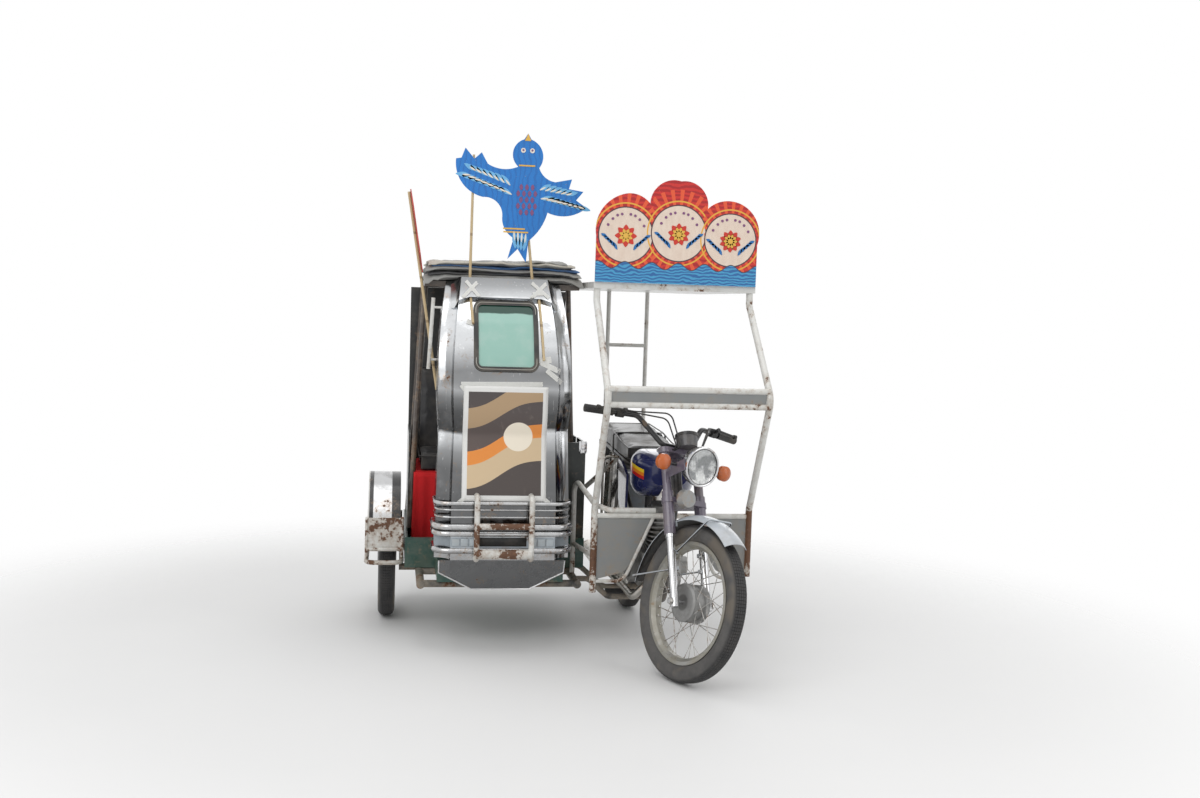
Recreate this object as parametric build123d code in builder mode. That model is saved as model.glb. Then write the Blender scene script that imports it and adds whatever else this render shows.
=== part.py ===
"""Motor tricycle: a small single-cylinder motorcycle with a roofed passenger sidecar on its right.

Millimetres. The front faces -Y, +X is the rider's left, +Z is up. Everything is first laid out
from the floor point under the front axle with the steering straight ahead. The steered pieces are
drawn in the steering head's own frame (x to the left grip, y back, z up the steering axis) and
turned to the parked angle at the end, when the whole is moved over the middle of its footprint.
"""
from build123d import *
from math import asin, atan2, cos, degrees, hypot, radians, sin, sqrt
import os

# Driving dimensions of the motorcycle
WHEELBASE = 1270
RAKE = 27
FORK_OFFSET = 42
STEER_PARKED = 26
TYRE_RADIUS = 301.5
TYRE_HALF_WIDTH = 37
TREAD_HALF = 17
FRAME_END_Y = WHEELBASE + 218
RIM_RADIUS = 236
RIM_DEPTH = 23
HUB_RADIUS = 74
HUB_HALF_WIDTH = 42
AXLE_RADIUS = 8
SHAFT_CLEARANCE = 0.05
SEAT_GAP = 0.3

# Driving dimensions of the sidecar
SIDE_TRACK = 1138
SIDE_AXLE_Y = 1130
CAR_X = -675
NOSE_HALF = 272
CABIN_HALF = 388
NOSE_Y = 418
HOOD_REAR_Y = 760
STEP_Y = 790
CABIN_REAR_Y = 1560
SEAT_FRONT_Y = CABIN_REAR_Y - 540
SEAT_BACK_Y = CABIN_REAR_Y - 160
DOOR_POST_Y = SEAT_FRONT_Y + 20
CHASSIS_Z = 262
CHASSIS_TUBE = 17
TUB_TOP_Z = 410
SIDE_TOP_Z = 830
ROOF_Z = 1512
WALL = 12
SHEET = 3

# Driving dimensions of the rider's canopy
CANOPY_X = 22
CANOPY_HALF = 325
CANOPY_TUBE = 14
KNEE_Y = 150
KNEE_Z = 1078
CANOPY_FRONT_Y = 510
CANOPY_REAR_Y = 1510
CANOPY_ROOF_Z = 1500
CANOPY_ROOF_THICK = 26
POST_FOOT_Y = 410
POST_ELBOW_Z = 600
SHIELD_LOW = 300
SHIELD_REACH = 248
BORDER_RADIUS = 7
CROSSBAR_Z = 572
SHIELD_TUBE = 11

# Steering geometry, worked out from the rake, the fork offset and the parked angle
rake_sin = sin(radians(RAKE))
rake_cos = cos(radians(RAKE))
lean = rake_sin * sin(radians(STEER_PARKED))
axle_height_parked = TYRE_RADIUS * sqrt(1 - lean**2) + TREAD_HALF * lean
steer_foot_z = axle_height_parked - FORK_OFFSET * rake_sin * cos(radians(STEER_PARKED))
steer_foot_y = FORK_OFFSET * rake_cos
HEAD_STRAIGHT = Plane(origin=(0, steer_foot_y, steer_foot_z), x_dir=(1, 0, 0), z_dir=(0, rake_sin, rake_cos))
parked_cos = cos(radians(STEER_PARKED))
parked_sin = sin(radians(STEER_PARKED))
HEAD_PARKED = Plane(
    origin=HEAD_STRAIGHT.origin,
    x_dir=HEAD_STRAIGHT.x_dir * parked_cos + HEAD_STRAIGHT.y_dir * parked_sin,
    z_dir=HEAD_STRAIGHT.z_dir,
)

fixed = []
steered = []


def head_point(x, y, z):
    """A point of the steering head's straight-ahead frame in the vehicle's frame."""
    return HEAD_STRAIGHT.from_local_coords(Vector(x, y, z))


def bar(points, radius, bend=None, mode=Mode.ADD):
    """Round bar or tube along straight runs, its corners bent to the given radius or radii."""
    with BuildLine() as route:
        if bend is None:
            Polyline(*points)
        else:
            FilletPolyline(*points, radius=bend)
    with BuildSketch(Plane(origin=route.line @ 0, z_dir=route.line % 0)) as section:
        Circle(radius)
    sweep(sections=section.sketch, path=route.line, mode=mode)


def block(x0, x1, y0, y1, z0, z1, mode=Mode.ADD):
    """Upright block between two corners."""
    with BuildSketch(Plane.XY.offset(z0)) as plan:
        with Locations(((x0 + x1) / 2, (y0 + y1) / 2)):
            Rectangle(x1 - x0, y1 - y0)
    extrude(plan.sketch, amount=z1 - z0, mode=mode)


def mirrored(points, centre_x=0):
    """The same points on the other side of a lengthwise centre plane."""
    return [(2 * centre_x - x, y, z) for x, y, z in points]


def dome_middle(edge, height):
    """How far a round dome stands out half way between its middle and its edge."""
    ball = (edge**2 + height**2) / (2 * height)
    return height - ball + sqrt(ball**2 - (edge / 2) ** 2)


def spoked_wheel(name, centre, group):
    """Tyre, rim, spokes and hub of one wheel that turns about its own x axis."""
    section_plane = Plane(origin=centre, x_dir=(0, 1, 0), z_dir=(0, 0, 1))
    axle = Axis(centre, (1, 0, 0))
    disc = Plane(origin=centre, x_dir=(0, 1, 0), z_dir=(1, 0, 0))
    bead = RIM_RADIUS - 8
    bead_half = 20
    waist = (bead + TYRE_RADIUS) / 2
    with BuildPart() as tyre:
        with BuildSketch(section_plane):
            with BuildLine():
                Polyline(
                    (bead, -bead_half + 4.2),
                    (bead, bead_half - 4.2),
                    (waist + 4, TYRE_HALF_WIDTH),
                    (TYRE_RADIUS, TREAD_HALF),
                    (TYRE_RADIUS, -TREAD_HALF),
                    (waist + 4, -TYRE_HALF_WIDTH),
                    close=True,
                )
            make_face()
        revolve(axis=axle)
    tyre.part.label = f"{name}_tyre"
    rim_inner = RIM_RADIUS - RIM_DEPTH
    with BuildPart() as rim:
        with BuildSketch(section_plane):
            with BuildLine():
                Polyline(
                    (rim_inner, -9),
                    (rim_inner, 9),
                    (bead - SEAT_GAP, bead_half + SEAT_GAP),
                    (RIM_RADIUS, bead_half + SEAT_GAP),
                    (RIM_RADIUS, bead_half + 5),
                    (bead - 6, bead_half + 5),
                    (rim_inner - 4, 12),
                    (rim_inner - 4, -12),
                    (bead - 6, -bead_half - 5),
                    (RIM_RADIUS, -bead_half - 5),
                    (RIM_RADIUS, -bead_half - SEAT_GAP),
                    (bead - SEAT_GAP, -bead_half - SEAT_GAP),
                    close=True,
                )
            make_face()
        revolve(axis=axle)
    rim.part.label = f"{name}_rim"
    with BuildPart() as hub:
        with BuildSketch(section_plane):
            with BuildLine():
                Polyline(
                    (AXLE_RADIUS + SHAFT_CLEARANCE, -HUB_HALF_WIDTH),
                    (AXLE_RADIUS + SHAFT_CLEARANCE, HUB_HALF_WIDTH),
                    (HUB_RADIUS - 10, HUB_HALF_WIDTH),
                    (HUB_RADIUS, HUB_HALF_WIDTH - 4),
                    (HUB_RADIUS, HUB_HALF_WIDTH - 24),
                    (HUB_RADIUS - 8, HUB_HALF_WIDTH - 27),
                    (HUB_RADIUS - 8, -HUB_HALF_WIDTH + 27),
                    (HUB_RADIUS, -HUB_HALF_WIDTH + 24),
                    (HUB_RADIUS, -HUB_HALF_WIDTH + 4),
                    (HUB_RADIUS - 10, -HUB_HALF_WIDTH),
                    close=True,
                )
            make_face()
        revolve(axis=axle)
    spoke_radius = 1.7
    spoke_sweep = 60
    with BuildPart() as spokes:
        for side in (-1, 1):
            for lean_way, flange_in in ((-1, 7), (1, 21)):
                for count in range(9):
                    hub_angle = radians(count * 40 + (10 if side > 0 else 0) + (20 if lean_way > 0 else 0))
                    rim_angle = hub_angle + radians(lean_way * spoke_sweep)
                    flange_x = side * (HUB_HALF_WIDTH - flange_in)
                    foot = Vector(centre) + Vector(
                        flange_x, (HUB_RADIUS - 4) * cos(hub_angle), (HUB_RADIUS - 4) * sin(hub_angle)
                    )
                    tip = Vector(centre) + Vector(
                        side * 3, (rim_inner + 4) * cos(rim_angle), (rim_inner + 4) * sin(rim_angle)
                    )
                    with BuildSketch(Plane(origin=foot, z_dir=tip - foot)):
                        RegularPolygon(spoke_radius, 4)
                    extrude(amount=(tip - foot).length)
        with BuildSketch(disc):
            Circle(rim_inner - 4 - SEAT_GAP)
            Circle(HUB_RADIUS + SEAT_GAP, mode=Mode.SUBTRACT)
        extrude(amount=HUB_HALF_WIDTH, both=True, mode=Mode.INTERSECT)
    with BuildPart() as hub_and_spokes:
        add(hub.part)
        add(spokes.part)
    hub_and_spokes.part.label = f"{name}_hub"
    group.extend([tyre, rim, hub_and_spokes])


# Wheels
spoked_wheel("front", (0, -FORK_OFFSET, 0), steered)
spoked_wheel("rear", (0, WHEELBASE, TYRE_RADIUS), fixed)
spoked_wheel("side", (-SIDE_TRACK, SIDE_AXLE_Y, TYRE_RADIUS), fixed)

# Fork, in the steering head's frame
LEG_HALF = 80
LEG_RADIUS = 17
SLIDER_TOP = 265
SHROUD_RADIUS = 23
SHROUD_TOP = 440
LOWER_YOKE_Z = 392
UPPER_YOKE_Z = 600
YOKE_THICK = 22
STEM_RADIUS = 13
leg_points = ((-LEG_HALF, -FORK_OFFSET), (LEG_HALF, -FORK_OFFSET))

with BuildPart() as fork_sliders:
    for leg_x, leg_y in leg_points:
        bar([(leg_x, leg_y, -22), (leg_x, leg_y, SLIDER_TOP)], LEG_RADIUS)
        bar([(leg_x, leg_y, SLIDER_TOP - 14), (leg_x, leg_y, SLIDER_TOP)], LEG_RADIUS + 3)
    with BuildSketch(Plane(origin=(0, -FORK_OFFSET, 0), x_dir=(0, 1, 0), z_dir=(1, 0, 0))):
        Circle(AXLE_RADIUS)
    extrude(amount=LEG_HALF + LEG_RADIUS + 12, both=True)
fork_sliders.part.label = "fork_sliders"
steered.append(fork_sliders)

LAMP_Z = 516
LAMP_Y = -169
LAMP_RADIUS = 78
with BuildPart() as fork_crown:
    for leg_x, leg_y in leg_points:
        bar([(leg_x, leg_y, SLIDER_TOP + SEAT_GAP), (leg_x, leg_y, SHROUD_TOP)], SHROUD_RADIUS)
        bar([(leg_x, leg_y, LOWER_YOKE_Z), (leg_x, leg_y, UPPER_YOKE_Z + 2)], LEG_RADIUS + 1)
    for yoke_z in (LOWER_YOKE_Z, UPPER_YOKE_Z):
        with BuildSketch(Plane.XY.offset(yoke_z)):
            make_hull(
                [
                    edge
                    for x, y, r in (
                        (-LEG_HALF, -FORK_OFFSET, SHROUD_RADIUS + 3),
                        (LEG_HALF, -FORK_OFFSET, SHROUD_RADIUS + 3),
                        (0, 0, 26),
                    )
                    for edge in Edge.make_circle(r, Plane((x, y, 0))).edges()
                ]
            )
        extrude(amount=YOKE_THICK)
    bar([(0, 0, LOWER_YOKE_Z), (0, 0, UPPER_YOKE_Z + YOKE_THICK)], STEM_RADIUS)
    for side in (-1, 1):
        ear = side * (LAMP_RADIUS + 1 + SEAT_GAP)
        block(*sorted((ear, ear + side * 4)), LAMP_Y + 8, -FORK_OFFSET - 6, LAMP_Z - 22, LAMP_Z + 22)
fork_crown.part.label = "fork_crown"
steered.append(fork_crown)

# Handlebar: clamped on the upper yoke, up, out and back to the grips
GRIP_HALF = 384
GRIP_Y = 63
GRIP_Z = 775
BAR_RADIUS = 11
CLAMP_Z = UPPER_YOKE_Z + YOKE_THICK + BAR_RADIUS + 14
bar_half = [(0, -18, CLAMP_Z), (70, -18, CLAMP_Z), (165, 12, GRIP_Z - 8), (GRIP_HALF, GRIP_Y, GRIP_Z)]
with BuildPart() as handlebar:
    bar(mirrored(bar_half[:0:-1]) + bar_half[1:], BAR_RADIUS, 38)
    for side in (-1, 1):
        block(side * 42 - 12, side * 42 + 12, -34, -2, UPPER_YOKE_Z + YOKE_THICK + SEAT_GAP, CLAMP_Z)
handlebar.part.label = "handlebar"
steered.append(handlebar)

GRIP_LENGTH = 118
GRIP_RADIUS = 16
with BuildPart() as hand_controls:
    for side in (-1, 1):
        end = Vector(side * GRIP_HALF, GRIP_Y, GRIP_Z)
        inner = Vector(side * 165, 12, GRIP_Z - 8)
        along = (end - inner).normalized()
        bar([end + along * 3, end - along * GRIP_LENGTH], GRIP_RADIUS)
        bar([end + along * SEAT_GAP, end - along * (GRIP_LENGTH + 1)], BAR_RADIUS + SEAT_GAP, mode=Mode.SUBTRACT)
    for side in (-1, 1):
        end = Vector(side * GRIP_HALF, GRIP_Y, GRIP_Z)
        inner = Vector(side * 165, 12, GRIP_Z - 8)
        along = (end - inner).normalized()
        perch = end - along * (GRIP_LENGTH + 30)
        bar([perch - along * 16, perch + along * 16], BAR_RADIUS + 7)
        bar([perch - along * 20, perch + along * 20], BAR_RADIUS + SEAT_GAP, mode=Mode.SUBTRACT)
        pivot = perch + Vector(0, -36, 0)
        bar([perch + Vector(0, -BAR_RADIUS - 4, 0), pivot + Vector(0, -8, 0)], 9)
        tip = end + Vector(-side * 32, -46, -6)
        bar([pivot, tip], 5)
        with BuildSketch(Plane(origin=tip - along * 0, x_dir=(0, 1, 0), z_dir=(1, 0, 0))):
            Circle(9)
        extrude(amount=6, both=True)
hand_controls.part.label = "hand_controls"
steered.append(hand_controls)

# Headlamp
LAMP_DEPTH = 92
LENS_DOME = 12
lamp_plane = Plane(origin=(0, LAMP_Y, LAMP_Z), x_dir=(1, 0, 0), z_dir=(0, -rake_cos, -rake_sin))
with BuildPart() as headlamp_shell:
    with BuildSketch(Plane(origin=lamp_plane.origin, x_dir=lamp_plane.z_dir, z_dir=lamp_plane.x_dir)):
        with BuildLine():
            Polyline((0, 0), (0, LAMP_RADIUS), (-12, LAMP_RADIUS + 1))
            ThreePointArc((-12, LAMP_RADIUS + 1), (-66, 56), (-LAMP_DEPTH, 20))
            Polyline((-LAMP_DEPTH, 20), (-LAMP_DEPTH, 0), (0, 0))
        make_face()
    revolve(axis=Axis(lamp_plane.origin, lamp_plane.z_dir))
    with BuildSketch(lamp_plane):
        Circle(LAMP_RADIUS - 8)
    extrude(amount=-14, mode=Mode.SUBTRACT)
headlamp_shell.part.label = "headlamp_shell"
steered.append(headlamp_shell)

with BuildPart() as headlamp_lens:
    with BuildSketch(Plane(origin=lamp_plane.origin, x_dir=lamp_plane.z_dir, z_dir=lamp_plane.x_dir)):
        with BuildLine():
            lens_edge = LAMP_RADIUS - 8 - SEAT_GAP
            Polyline((-14 + SEAT_GAP, 0), (-14 + SEAT_GAP, lens_edge), (0, lens_edge))
            ThreePointArc((0, lens_edge), (dome_middle(lens_edge, LENS_DOME), lens_edge / 2), (LENS_DOME, 0))
            Line((LENS_DOME, 0), (-14 + SEAT_GAP, 0))
        make_face()
    revolve(axis=Axis(lamp_plane.origin, lamp_plane.z_dir))
headlamp_lens.part.label = "headlamp_lens"
steered.append(headlamp_lens)

with BuildPart() as instruments:
    with BuildSketch(Plane((0, -88, UPPER_YOKE_Z + YOKE_THICK + SEAT_GAP))):
        Circle(40)
    extrude(amount=52, taper=-6)
instruments.part.label = "instruments"
steered.append(instruments)

INDICATOR_RADIUS = 31
INDICATOR_DEPTH = 36
INDICATOR_DOME = 13
stalk_root = (LAMP_RADIUS + 5 + 2 * SEAT_GAP, -112, LAMP_Z + 14)
stalk_end = (140, -112, LAMP_Z + 14)
with BuildPart() as indicators:
    for side in (-1, 1):
        bar([(side * x, y, z) for x, y, z in (stalk_root, stalk_end)], 6)
        drum = Plane(origin=(side * 152, -106, LAMP_Z + 20), x_dir=(1, 0, 0), z_dir=lamp_plane.z_dir)
        with BuildSketch(Plane(origin=drum.origin, x_dir=drum.z_dir, z_dir=drum.x_dir)):
            with BuildLine():
                Polyline((INDICATOR_DEPTH, 0), (0, 0), (0, INDICATOR_RADIUS - 7), (6, INDICATOR_RADIUS))
                Line((6, INDICATOR_RADIUS), (INDICATOR_DEPTH - INDICATOR_DOME, INDICATOR_RADIUS))
                ThreePointArc(
                    (INDICATOR_DEPTH - INDICATOR_DOME, INDICATOR_RADIUS),
                    (INDICATOR_DEPTH - INDICATOR_DOME + dome_middle(INDICATOR_RADIUS, INDICATOR_DOME), INDICATOR_RADIUS / 2),
                    (INDICATOR_DEPTH, 0),
                )
            make_face()
        revolve(axis=Axis(drum.origin, drum.z_dir))
indicators.part.label = "indicators"
steered.append(indicators)

with BuildPart() as horn:
    with BuildSketch(Plane(origin=(-32, -84, 404), x_dir=(1, 0, 0), z_dir=(0, -1, -0.25))):
        Circle(38)
    extrude(amount=30, taper=8)
    block(-44, -20, -86, -68 - SEAT_GAP, 397, 411)
horn.part.label = "horn"
steered.append(horn)

# Front mudguard, an arched sheet over the tyre
GUARD_RADIUS = 338
GUARD_HALF = 52
GUARD_FRONT = 27
GUARD_BACK = 152
STAY_RADIUS = 3.5
STAY_X = GUARD_HALF + STAY_RADIUS + 1
FRONT_STAY_Z = 196
FRONT_STAY_ANGLE = 52
REAR_STAY_Z = 132
REAR_STAY_ANGLE = 149
with BuildPart() as front_mudguard:
    centre = Vector(0, -FORK_OFFSET, 0)
    start = Vector(0, -cos(radians(GUARD_FRONT)), sin(radians(GUARD_FRONT)))
    with BuildSketch(Plane(origin=centre, x_dir=start, z_dir=start.cross(Vector(1, 0, 0)))):
        with BuildLine():
            ThreePointArc(
                (GUARD_RADIUS - 22, -GUARD_HALF), (GUARD_RADIUS, 0), (GUARD_RADIUS - 22, GUARD_HALF)
            )
            Line((GUARD_RADIUS - 22, GUARD_HALF), (GUARD_RADIUS - 22 + SHEET, GUARD_HALF))
            ThreePointArc(
                (GUARD_RADIUS - 22 + SHEET, GUARD_HALF),
                (GUARD_RADIUS + SHEET, 0),
                (GUARD_RADIUS - 22 + SHEET, -GUARD_HALF),
            )
            Line((GUARD_RADIUS - 22 + SHEET, -GUARD_HALF), (GUARD_RADIUS - 22, -GUARD_HALF))
        make_face()
    revolve(axis=Axis(centre, (-1, 0, 0)), revolution_arc=GUARD_BACK - GUARD_FRONT)
    for side in (-1, 1):
        side_x = LEG_HALF - SHROUD_RADIUS - SEAT_GAP
        block(*sorted((side * (GUARD_HALF - 2), side * side_x)), -54, -30, GUARD_RADIUS - 40, GUARD_RADIUS - 18)
    for stay_z, stay_way in ((FRONT_STAY_Z, FRONT_STAY_ANGLE), (REAR_STAY_Z, REAR_STAY_ANGLE)):
        crown = GUARD_RADIUS + SHEET + STAY_RADIUS - 2
        over = (-FORK_OFFSET - crown * cos(radians(stay_way)), crown * sin(radians(stay_way)))
        stay_half = [(0, *over), (STAY_X, *over), (STAY_X, -FORK_OFFSET, stay_z)]
        bar(mirrored(stay_half[:0:-1]) + stay_half[1:], STAY_RADIUS, 12)
        for side in (-1, 1):
            lug_reach = LEG_HALF - LEG_RADIUS - SEAT_GAP
            block(
                *sorted((side * (STAY_X - STAY_RADIUS - 2), side * lug_reach)),
                -FORK_OFFSET - 6, -FORK_OFFSET + 6, stay_z - 7, stay_z + 7,
            )
front_mudguard.part.label = "front_mudguard"
steered.append(front_mudguard)

# Motorcycle frame
HEAD_TUBE = (418, 582)
HEAD_TUBE_RADIUS = 25
PIVOT = (0, 820, 330)
CRADLE_Z = 212
SPINE_Z = 705
SEAT_RAIL_X = 95
SWING_HALF = 78
with BuildPart() as moto_frame:
    head_low = head_point(0, 0, HEAD_TUBE[0])
    head_high = head_point(0, 0, HEAD_TUBE[1])
    spine_start = head_point(0, 0, 520)
    down_start = head_point(0, 0, 462)
    bar([head_low, head_high], HEAD_TUBE_RADIUS)
    bar([spine_start, (0, 730, SPINE_Z), (0, 800, SPINE_Z - 60), (0, 850, CRADLE_Z)], 17, 60)
    bar([down_start, (0, 395, 330), (0, 430, CRADLE_Z), (0, 850, CRADLE_Z)], 15, 60)
    for side in (-1, 1):
        rail = [(0, 700, SPINE_Z), (side * SEAT_RAIL_X, 860, 740), (side * SEAT_RAIL_X, FRAME_END_Y + 9.8, 765)]
        bar(rail, 11, 120)
        bar([(side * 20, 835, 350), (side * SEAT_RAIL_X, 1080, 748)], 9)
    bar([(-SEAT_RAIL_X, FRAME_END_Y, 765), (SEAT_RAIL_X, FRAME_END_Y, 765)], 10)
    for lug_y in (430, 660):
        block(-9, 9, lug_y, lug_y + 24, 725, 772 - SEAT_GAP)
    bar([(-SEAT_RAIL_X, 1150, 751), (SEAT_RAIL_X, 1150, 751)], 9)
    bar([(-SWING_HALF + 13.3, 835, 330), (SWING_HALF - 13.3, 835, 330)], 13)
    bar([head_low - (head_high - head_low) * 0.1, head_high + (head_high - head_low) * 0.1],
        STEM_RADIUS + SHAFT_CLEARANCE, mode=Mode.SUBTRACT)
moto_frame.part.label = "moto_frame"
fixed.append(moto_frame)

CASE_HALF = 84
CYLINDER_TILT = -0.15
cylinder_plane = Plane(origin=(0, 545, 396), x_dir=(1, 0, 0), z_dir=(0, CYLINDER_TILT, 1))
with BuildPart() as engine:
    with BuildSketch(Plane.YZ.offset(-CASE_HALF)) as case:
        Polygon(
            (478, 290), (500, 248), (752, 248), (790, 290), (790, 352), (742, 408), (604, 420), (490, 402), align=None
        )
    extrude(case.sketch, amount=2 * CASE_HALF)
    # Covers. Columns: side, distance out, middle y, middle z, radius
    for side, out, y, z, r in ((1, 30, 655, 330, 76), (1, 44, 590, 330, 40), (-1, 30, 640, 330, 80), (-1, 42, 640, 330, 58)):
        with BuildSketch(Plane.YZ.offset(side * CASE_HALF)) as cover:
            with Locations((y, z)):
                Circle(r)
        extrude(cover.sketch, amount=side * out)
    with BuildSketch(cylinder_plane) as barrel:
        RectangleRounded(88, 92, 24)
    extrude(barrel.sketch, amount=214)
    for fin in range(9):
        with BuildSketch(cylinder_plane.offset(26 + fin * 20)) as fin_plan:
            RectangleRounded(128 if fin < 6 else 112, 130 if fin < 6 else 118, 22)
        extrude(fin_plan.sketch, amount=7)
    bar([(0, 585, 505), (0, 690, 512)], 22)
    block(-22, 22, 628, 668, 452, 508)
    for lug_y in (570, 730):
        block(-12, 12, lug_y - 16, lug_y + 16, CRADLE_Z + 15 + SEAT_GAP, 250)
engine.part.label = "engine"
fixed.append(engine)

with BuildPart() as fuel_tank:
    with BuildSketch(Plane.XZ.offset(-388)):
        with Locations((0, 752)):
            RectangleRounded(150, 100, 36)
    with BuildSketch(Plane.XZ.offset(-525)):
        with Locations((0, 733)):
            RectangleRounded(256, 196, 62)
    with BuildSketch(Plane.XZ.offset(-705)):
        with Locations((0, 752)):
            RectangleRounded(176, 118, 40)
    loft()
    block(-24, 24, 330, 740, 600, 772, mode=Mode.SUBTRACT)
fuel_tank.part.label = "fuel_tank"
fixed.append(fuel_tank)

SEAT_TAIL_Y = FRAME_END_Y - 18
with BuildPart() as rider_seat:
    with BuildSketch(Plane.YZ.offset(-120)):
        with BuildLine():
            Polyline((715, 768), (860, 752), (SEAT_TAIL_Y - 8, 776), (SEAT_TAIL_Y, 820))
            Polyline((SEAT_TAIL_Y, 820), (SEAT_TAIL_Y - 40, 862), (1100, 852), (900, 828), (715, 822), (715, 768))
        make_face()
    extrude(amount=240)
rider_seat.part.label = "rider_seat"
fixed.append(rider_seat)

with BuildPart() as side_covers:
    for side in (-1, 1):
        with BuildSketch(Plane.YZ.offset(side * (SEAT_RAIL_X + 11 + SEAT_GAP))):
            Polygon((735, 700), (880, 742), (945, 745), (925, 570), (810, 470), (750, 520), align=None)
        extrude(amount=side * 11)
side_covers.part.label = "side_covers"
fixed.append(side_covers)

with BuildPart() as swing_arm:
    for side in (-1, 1):
        bar([(side * SWING_HALF, 835, 330), (side * SWING_HALF, WHEELBASE + 35, TYRE_RADIUS)], 13)
    with BuildSketch(Plane(origin=(0, WHEELBASE, TYRE_RADIUS), x_dir=(0, 1, 0), z_dir=(1, 0, 0))):
        Circle(AXLE_RADIUS)
    extrude(amount=SWING_HALF + 13, both=True)
swing_arm.part.label = "swing_arm"
fixed.append(swing_arm)

SHOCK_LOW_X = SWING_HALF + 13 + 18 + SEAT_GAP
SHOCK_HIGH_X = SEAT_RAIL_X + 11 + 10 + SEAT_GAP
with BuildPart() as rear_shocks:
    for side in (-1, 1):
        low = Vector(side * SHOCK_LOW_X, WHEELBASE - 8, 296)
        high = Vector(side * SHOCK_HIGH_X, WHEELBASE - 140, 756)
        bar([low, low + (high - low) * 0.42], 18)
        bar([low + (high - low) * 0.42, low + (high - low) * 0.9], 27)
        bar([low + (high - low) * 0.9, high], 9)
rear_shocks.part.label = "rear_shocks"
fixed.append(rear_shocks)

REAR_GUARD_RADIUS = GUARD_RADIUS + 12
REAR_GUARD_WIDTH = 116
with BuildPart() as rear_mudguard:
    centre = Vector(0, WHEELBASE, TYRE_RADIUS)
    start = Vector(0, -cos(radians(20)), sin(radians(20)))
    with BuildSketch(Plane(origin=centre, x_dir=start, z_dir=start.cross(Vector(1, 0, 0)))):
        with Locations((REAR_GUARD_RADIUS, 0)):
            Rectangle(SHEET, REAR_GUARD_WIDTH)
    revolve(axis=Axis(centre, (-1, 0, 0)), revolution_arc=140)
    hanger_z = TYRE_RADIUS + sqrt(REAR_GUARD_RADIUS**2 - (FRAME_END_Y - WHEELBASE) ** 2)
    bar([(0, FRAME_END_Y, hanger_z + 1), (0, FRAME_END_Y, 765 - 10 - SEAT_GAP)], 7)
rear_mudguard.part.label = "rear_mudguard"
fixed.append(rear_mudguard)

# Exhaust: header down the front of the engine, silencer on the right, strap to the seat rail
SILENCER_X = -176
STRAP_Y = 1010
strap_z = 740 + 25 * (STRAP_Y - 860) / (FRAME_END_Y - 850)
with BuildPart() as exhaust:
    bar(
        [
            cylinder_plane.from_local_coords(Vector(0, -65 - SEAT_GAP, 110)),
            cylinder_plane.from_local_coords(Vector(0, -92, 110)),
            (-58, 434, 300),
            (-122, 464, 221),
            (-126, 720, 221),
            (SILENCER_X, 880, 262),
            (SILENCER_X, 940, 262),
        ],
        16,
        [24, 34, 34, 90, 60],
    )
    bar([(SILENCER_X, 925, 262), (SILENCER_X, 965, 262)], 28)
    bar([(SILENCER_X, 950, 262), (SILENCER_X, 1370, 262)], 37)
    bar([(SILENCER_X, 1365, 262), (SILENCER_X, 1410, 262)], 17)
    bar(
        [
            (SILENCER_X, STRAP_Y, 290),
            (SILENCER_X, STRAP_Y, strap_z),
            (-SEAT_RAIL_X - 11 - SEAT_GAP, STRAP_Y, strap_z),
        ],
        6,
        25,
    )
exhaust.part.label = "exhaust"
fixed.append(exhaust)

CHAIN_X = (47.5, 61.5)
with BuildPart() as chain_case:
    with BuildSketch(Plane.YZ.offset(CHAIN_X[0])) as case_plan:
        make_hull(
            [
                edge
                for y, z, r in ((842, 330, 42), (WHEELBASE, TYRE_RADIUS, 76))
                for edge in Edge.make_circle(r, Plane((y, z, 0))).edges()
            ]
        )
        with Locations((835, 330)):
            Circle(13 + SEAT_GAP, mode=Mode.SUBTRACT)
        with Locations((WHEELBASE, TYRE_RADIUS)):
            Circle(AXLE_RADIUS + SEAT_GAP, mode=Mode.SUBTRACT)
    extrude(case_plan.sketch, amount=CHAIN_X[1] - CHAIN_X[0])
    block(CHAIN_X[1], SWING_HALF - 13 - SEAT_GAP, 990, 1010, 314, 326)
chain_case.part.label = "chain_case"
fixed.append(chain_case)

PEG_Y = 720
PEG_Z = CRADLE_Z - 15 - 9 - SEAT_GAP
with BuildPart() as foot_pegs:
    bar([(-192, PEG_Y, PEG_Z), (192, PEG_Y, PEG_Z)], 9)
    for side in (-1, 1):
        bar([(side * 112, PEG_Y, PEG_Z), (side * 198, PEG_Y, PEG_Z)], 14)
foot_pegs.part.label = "foot_pegs"
fixed.append(foot_pegs)

# Clutch, brake and throttle cables from the levers to the front of the upper yoke
CABLE_RADIUS = 3
with BuildPart() as control_cables:
    # Columns: side, how far in on the yoke, how far the loop stands forward, its height
    for side, yoke_x, loop_y, loop_z in ((-1, 50, -118, 742), (-1, 60, -104, 722), (1, 52, -112, 716), (1, 62, -98, 700)):
        order = 1 if loop_z in (742, 716) else -1
        lever_end = Vector(side * GRIP_HALF, GRIP_Y, GRIP_Z)
        lever_in = Vector(side * 165, 12, GRIP_Z - 8)
        boss = lever_end - (lever_end - lever_in).normalized() * (GRIP_LENGTH + 30)
        bar(
            [
                (boss.X - side * (9 + SEAT_GAP), boss.Y - 33 - order * 4, boss.Z),
                (boss.X - side * 40, boss.Y - 34 - order * 5, boss.Z),
                (side * (yoke_x + 45), loop_y, loop_z),
                (side * yoke_x, loop_y + 8, UPPER_YOKE_Z + 11),
                (side * yoke_x, -FORK_OFFSET - SHROUD_RADIUS - 3 - SEAT_GAP, UPPER_YOKE_Z + 11),
            ],
            CABLE_RADIUS,
            [30, 40, 18],
        )
control_cables.part.label = "control_cables"
steered.append(control_cables)

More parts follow.
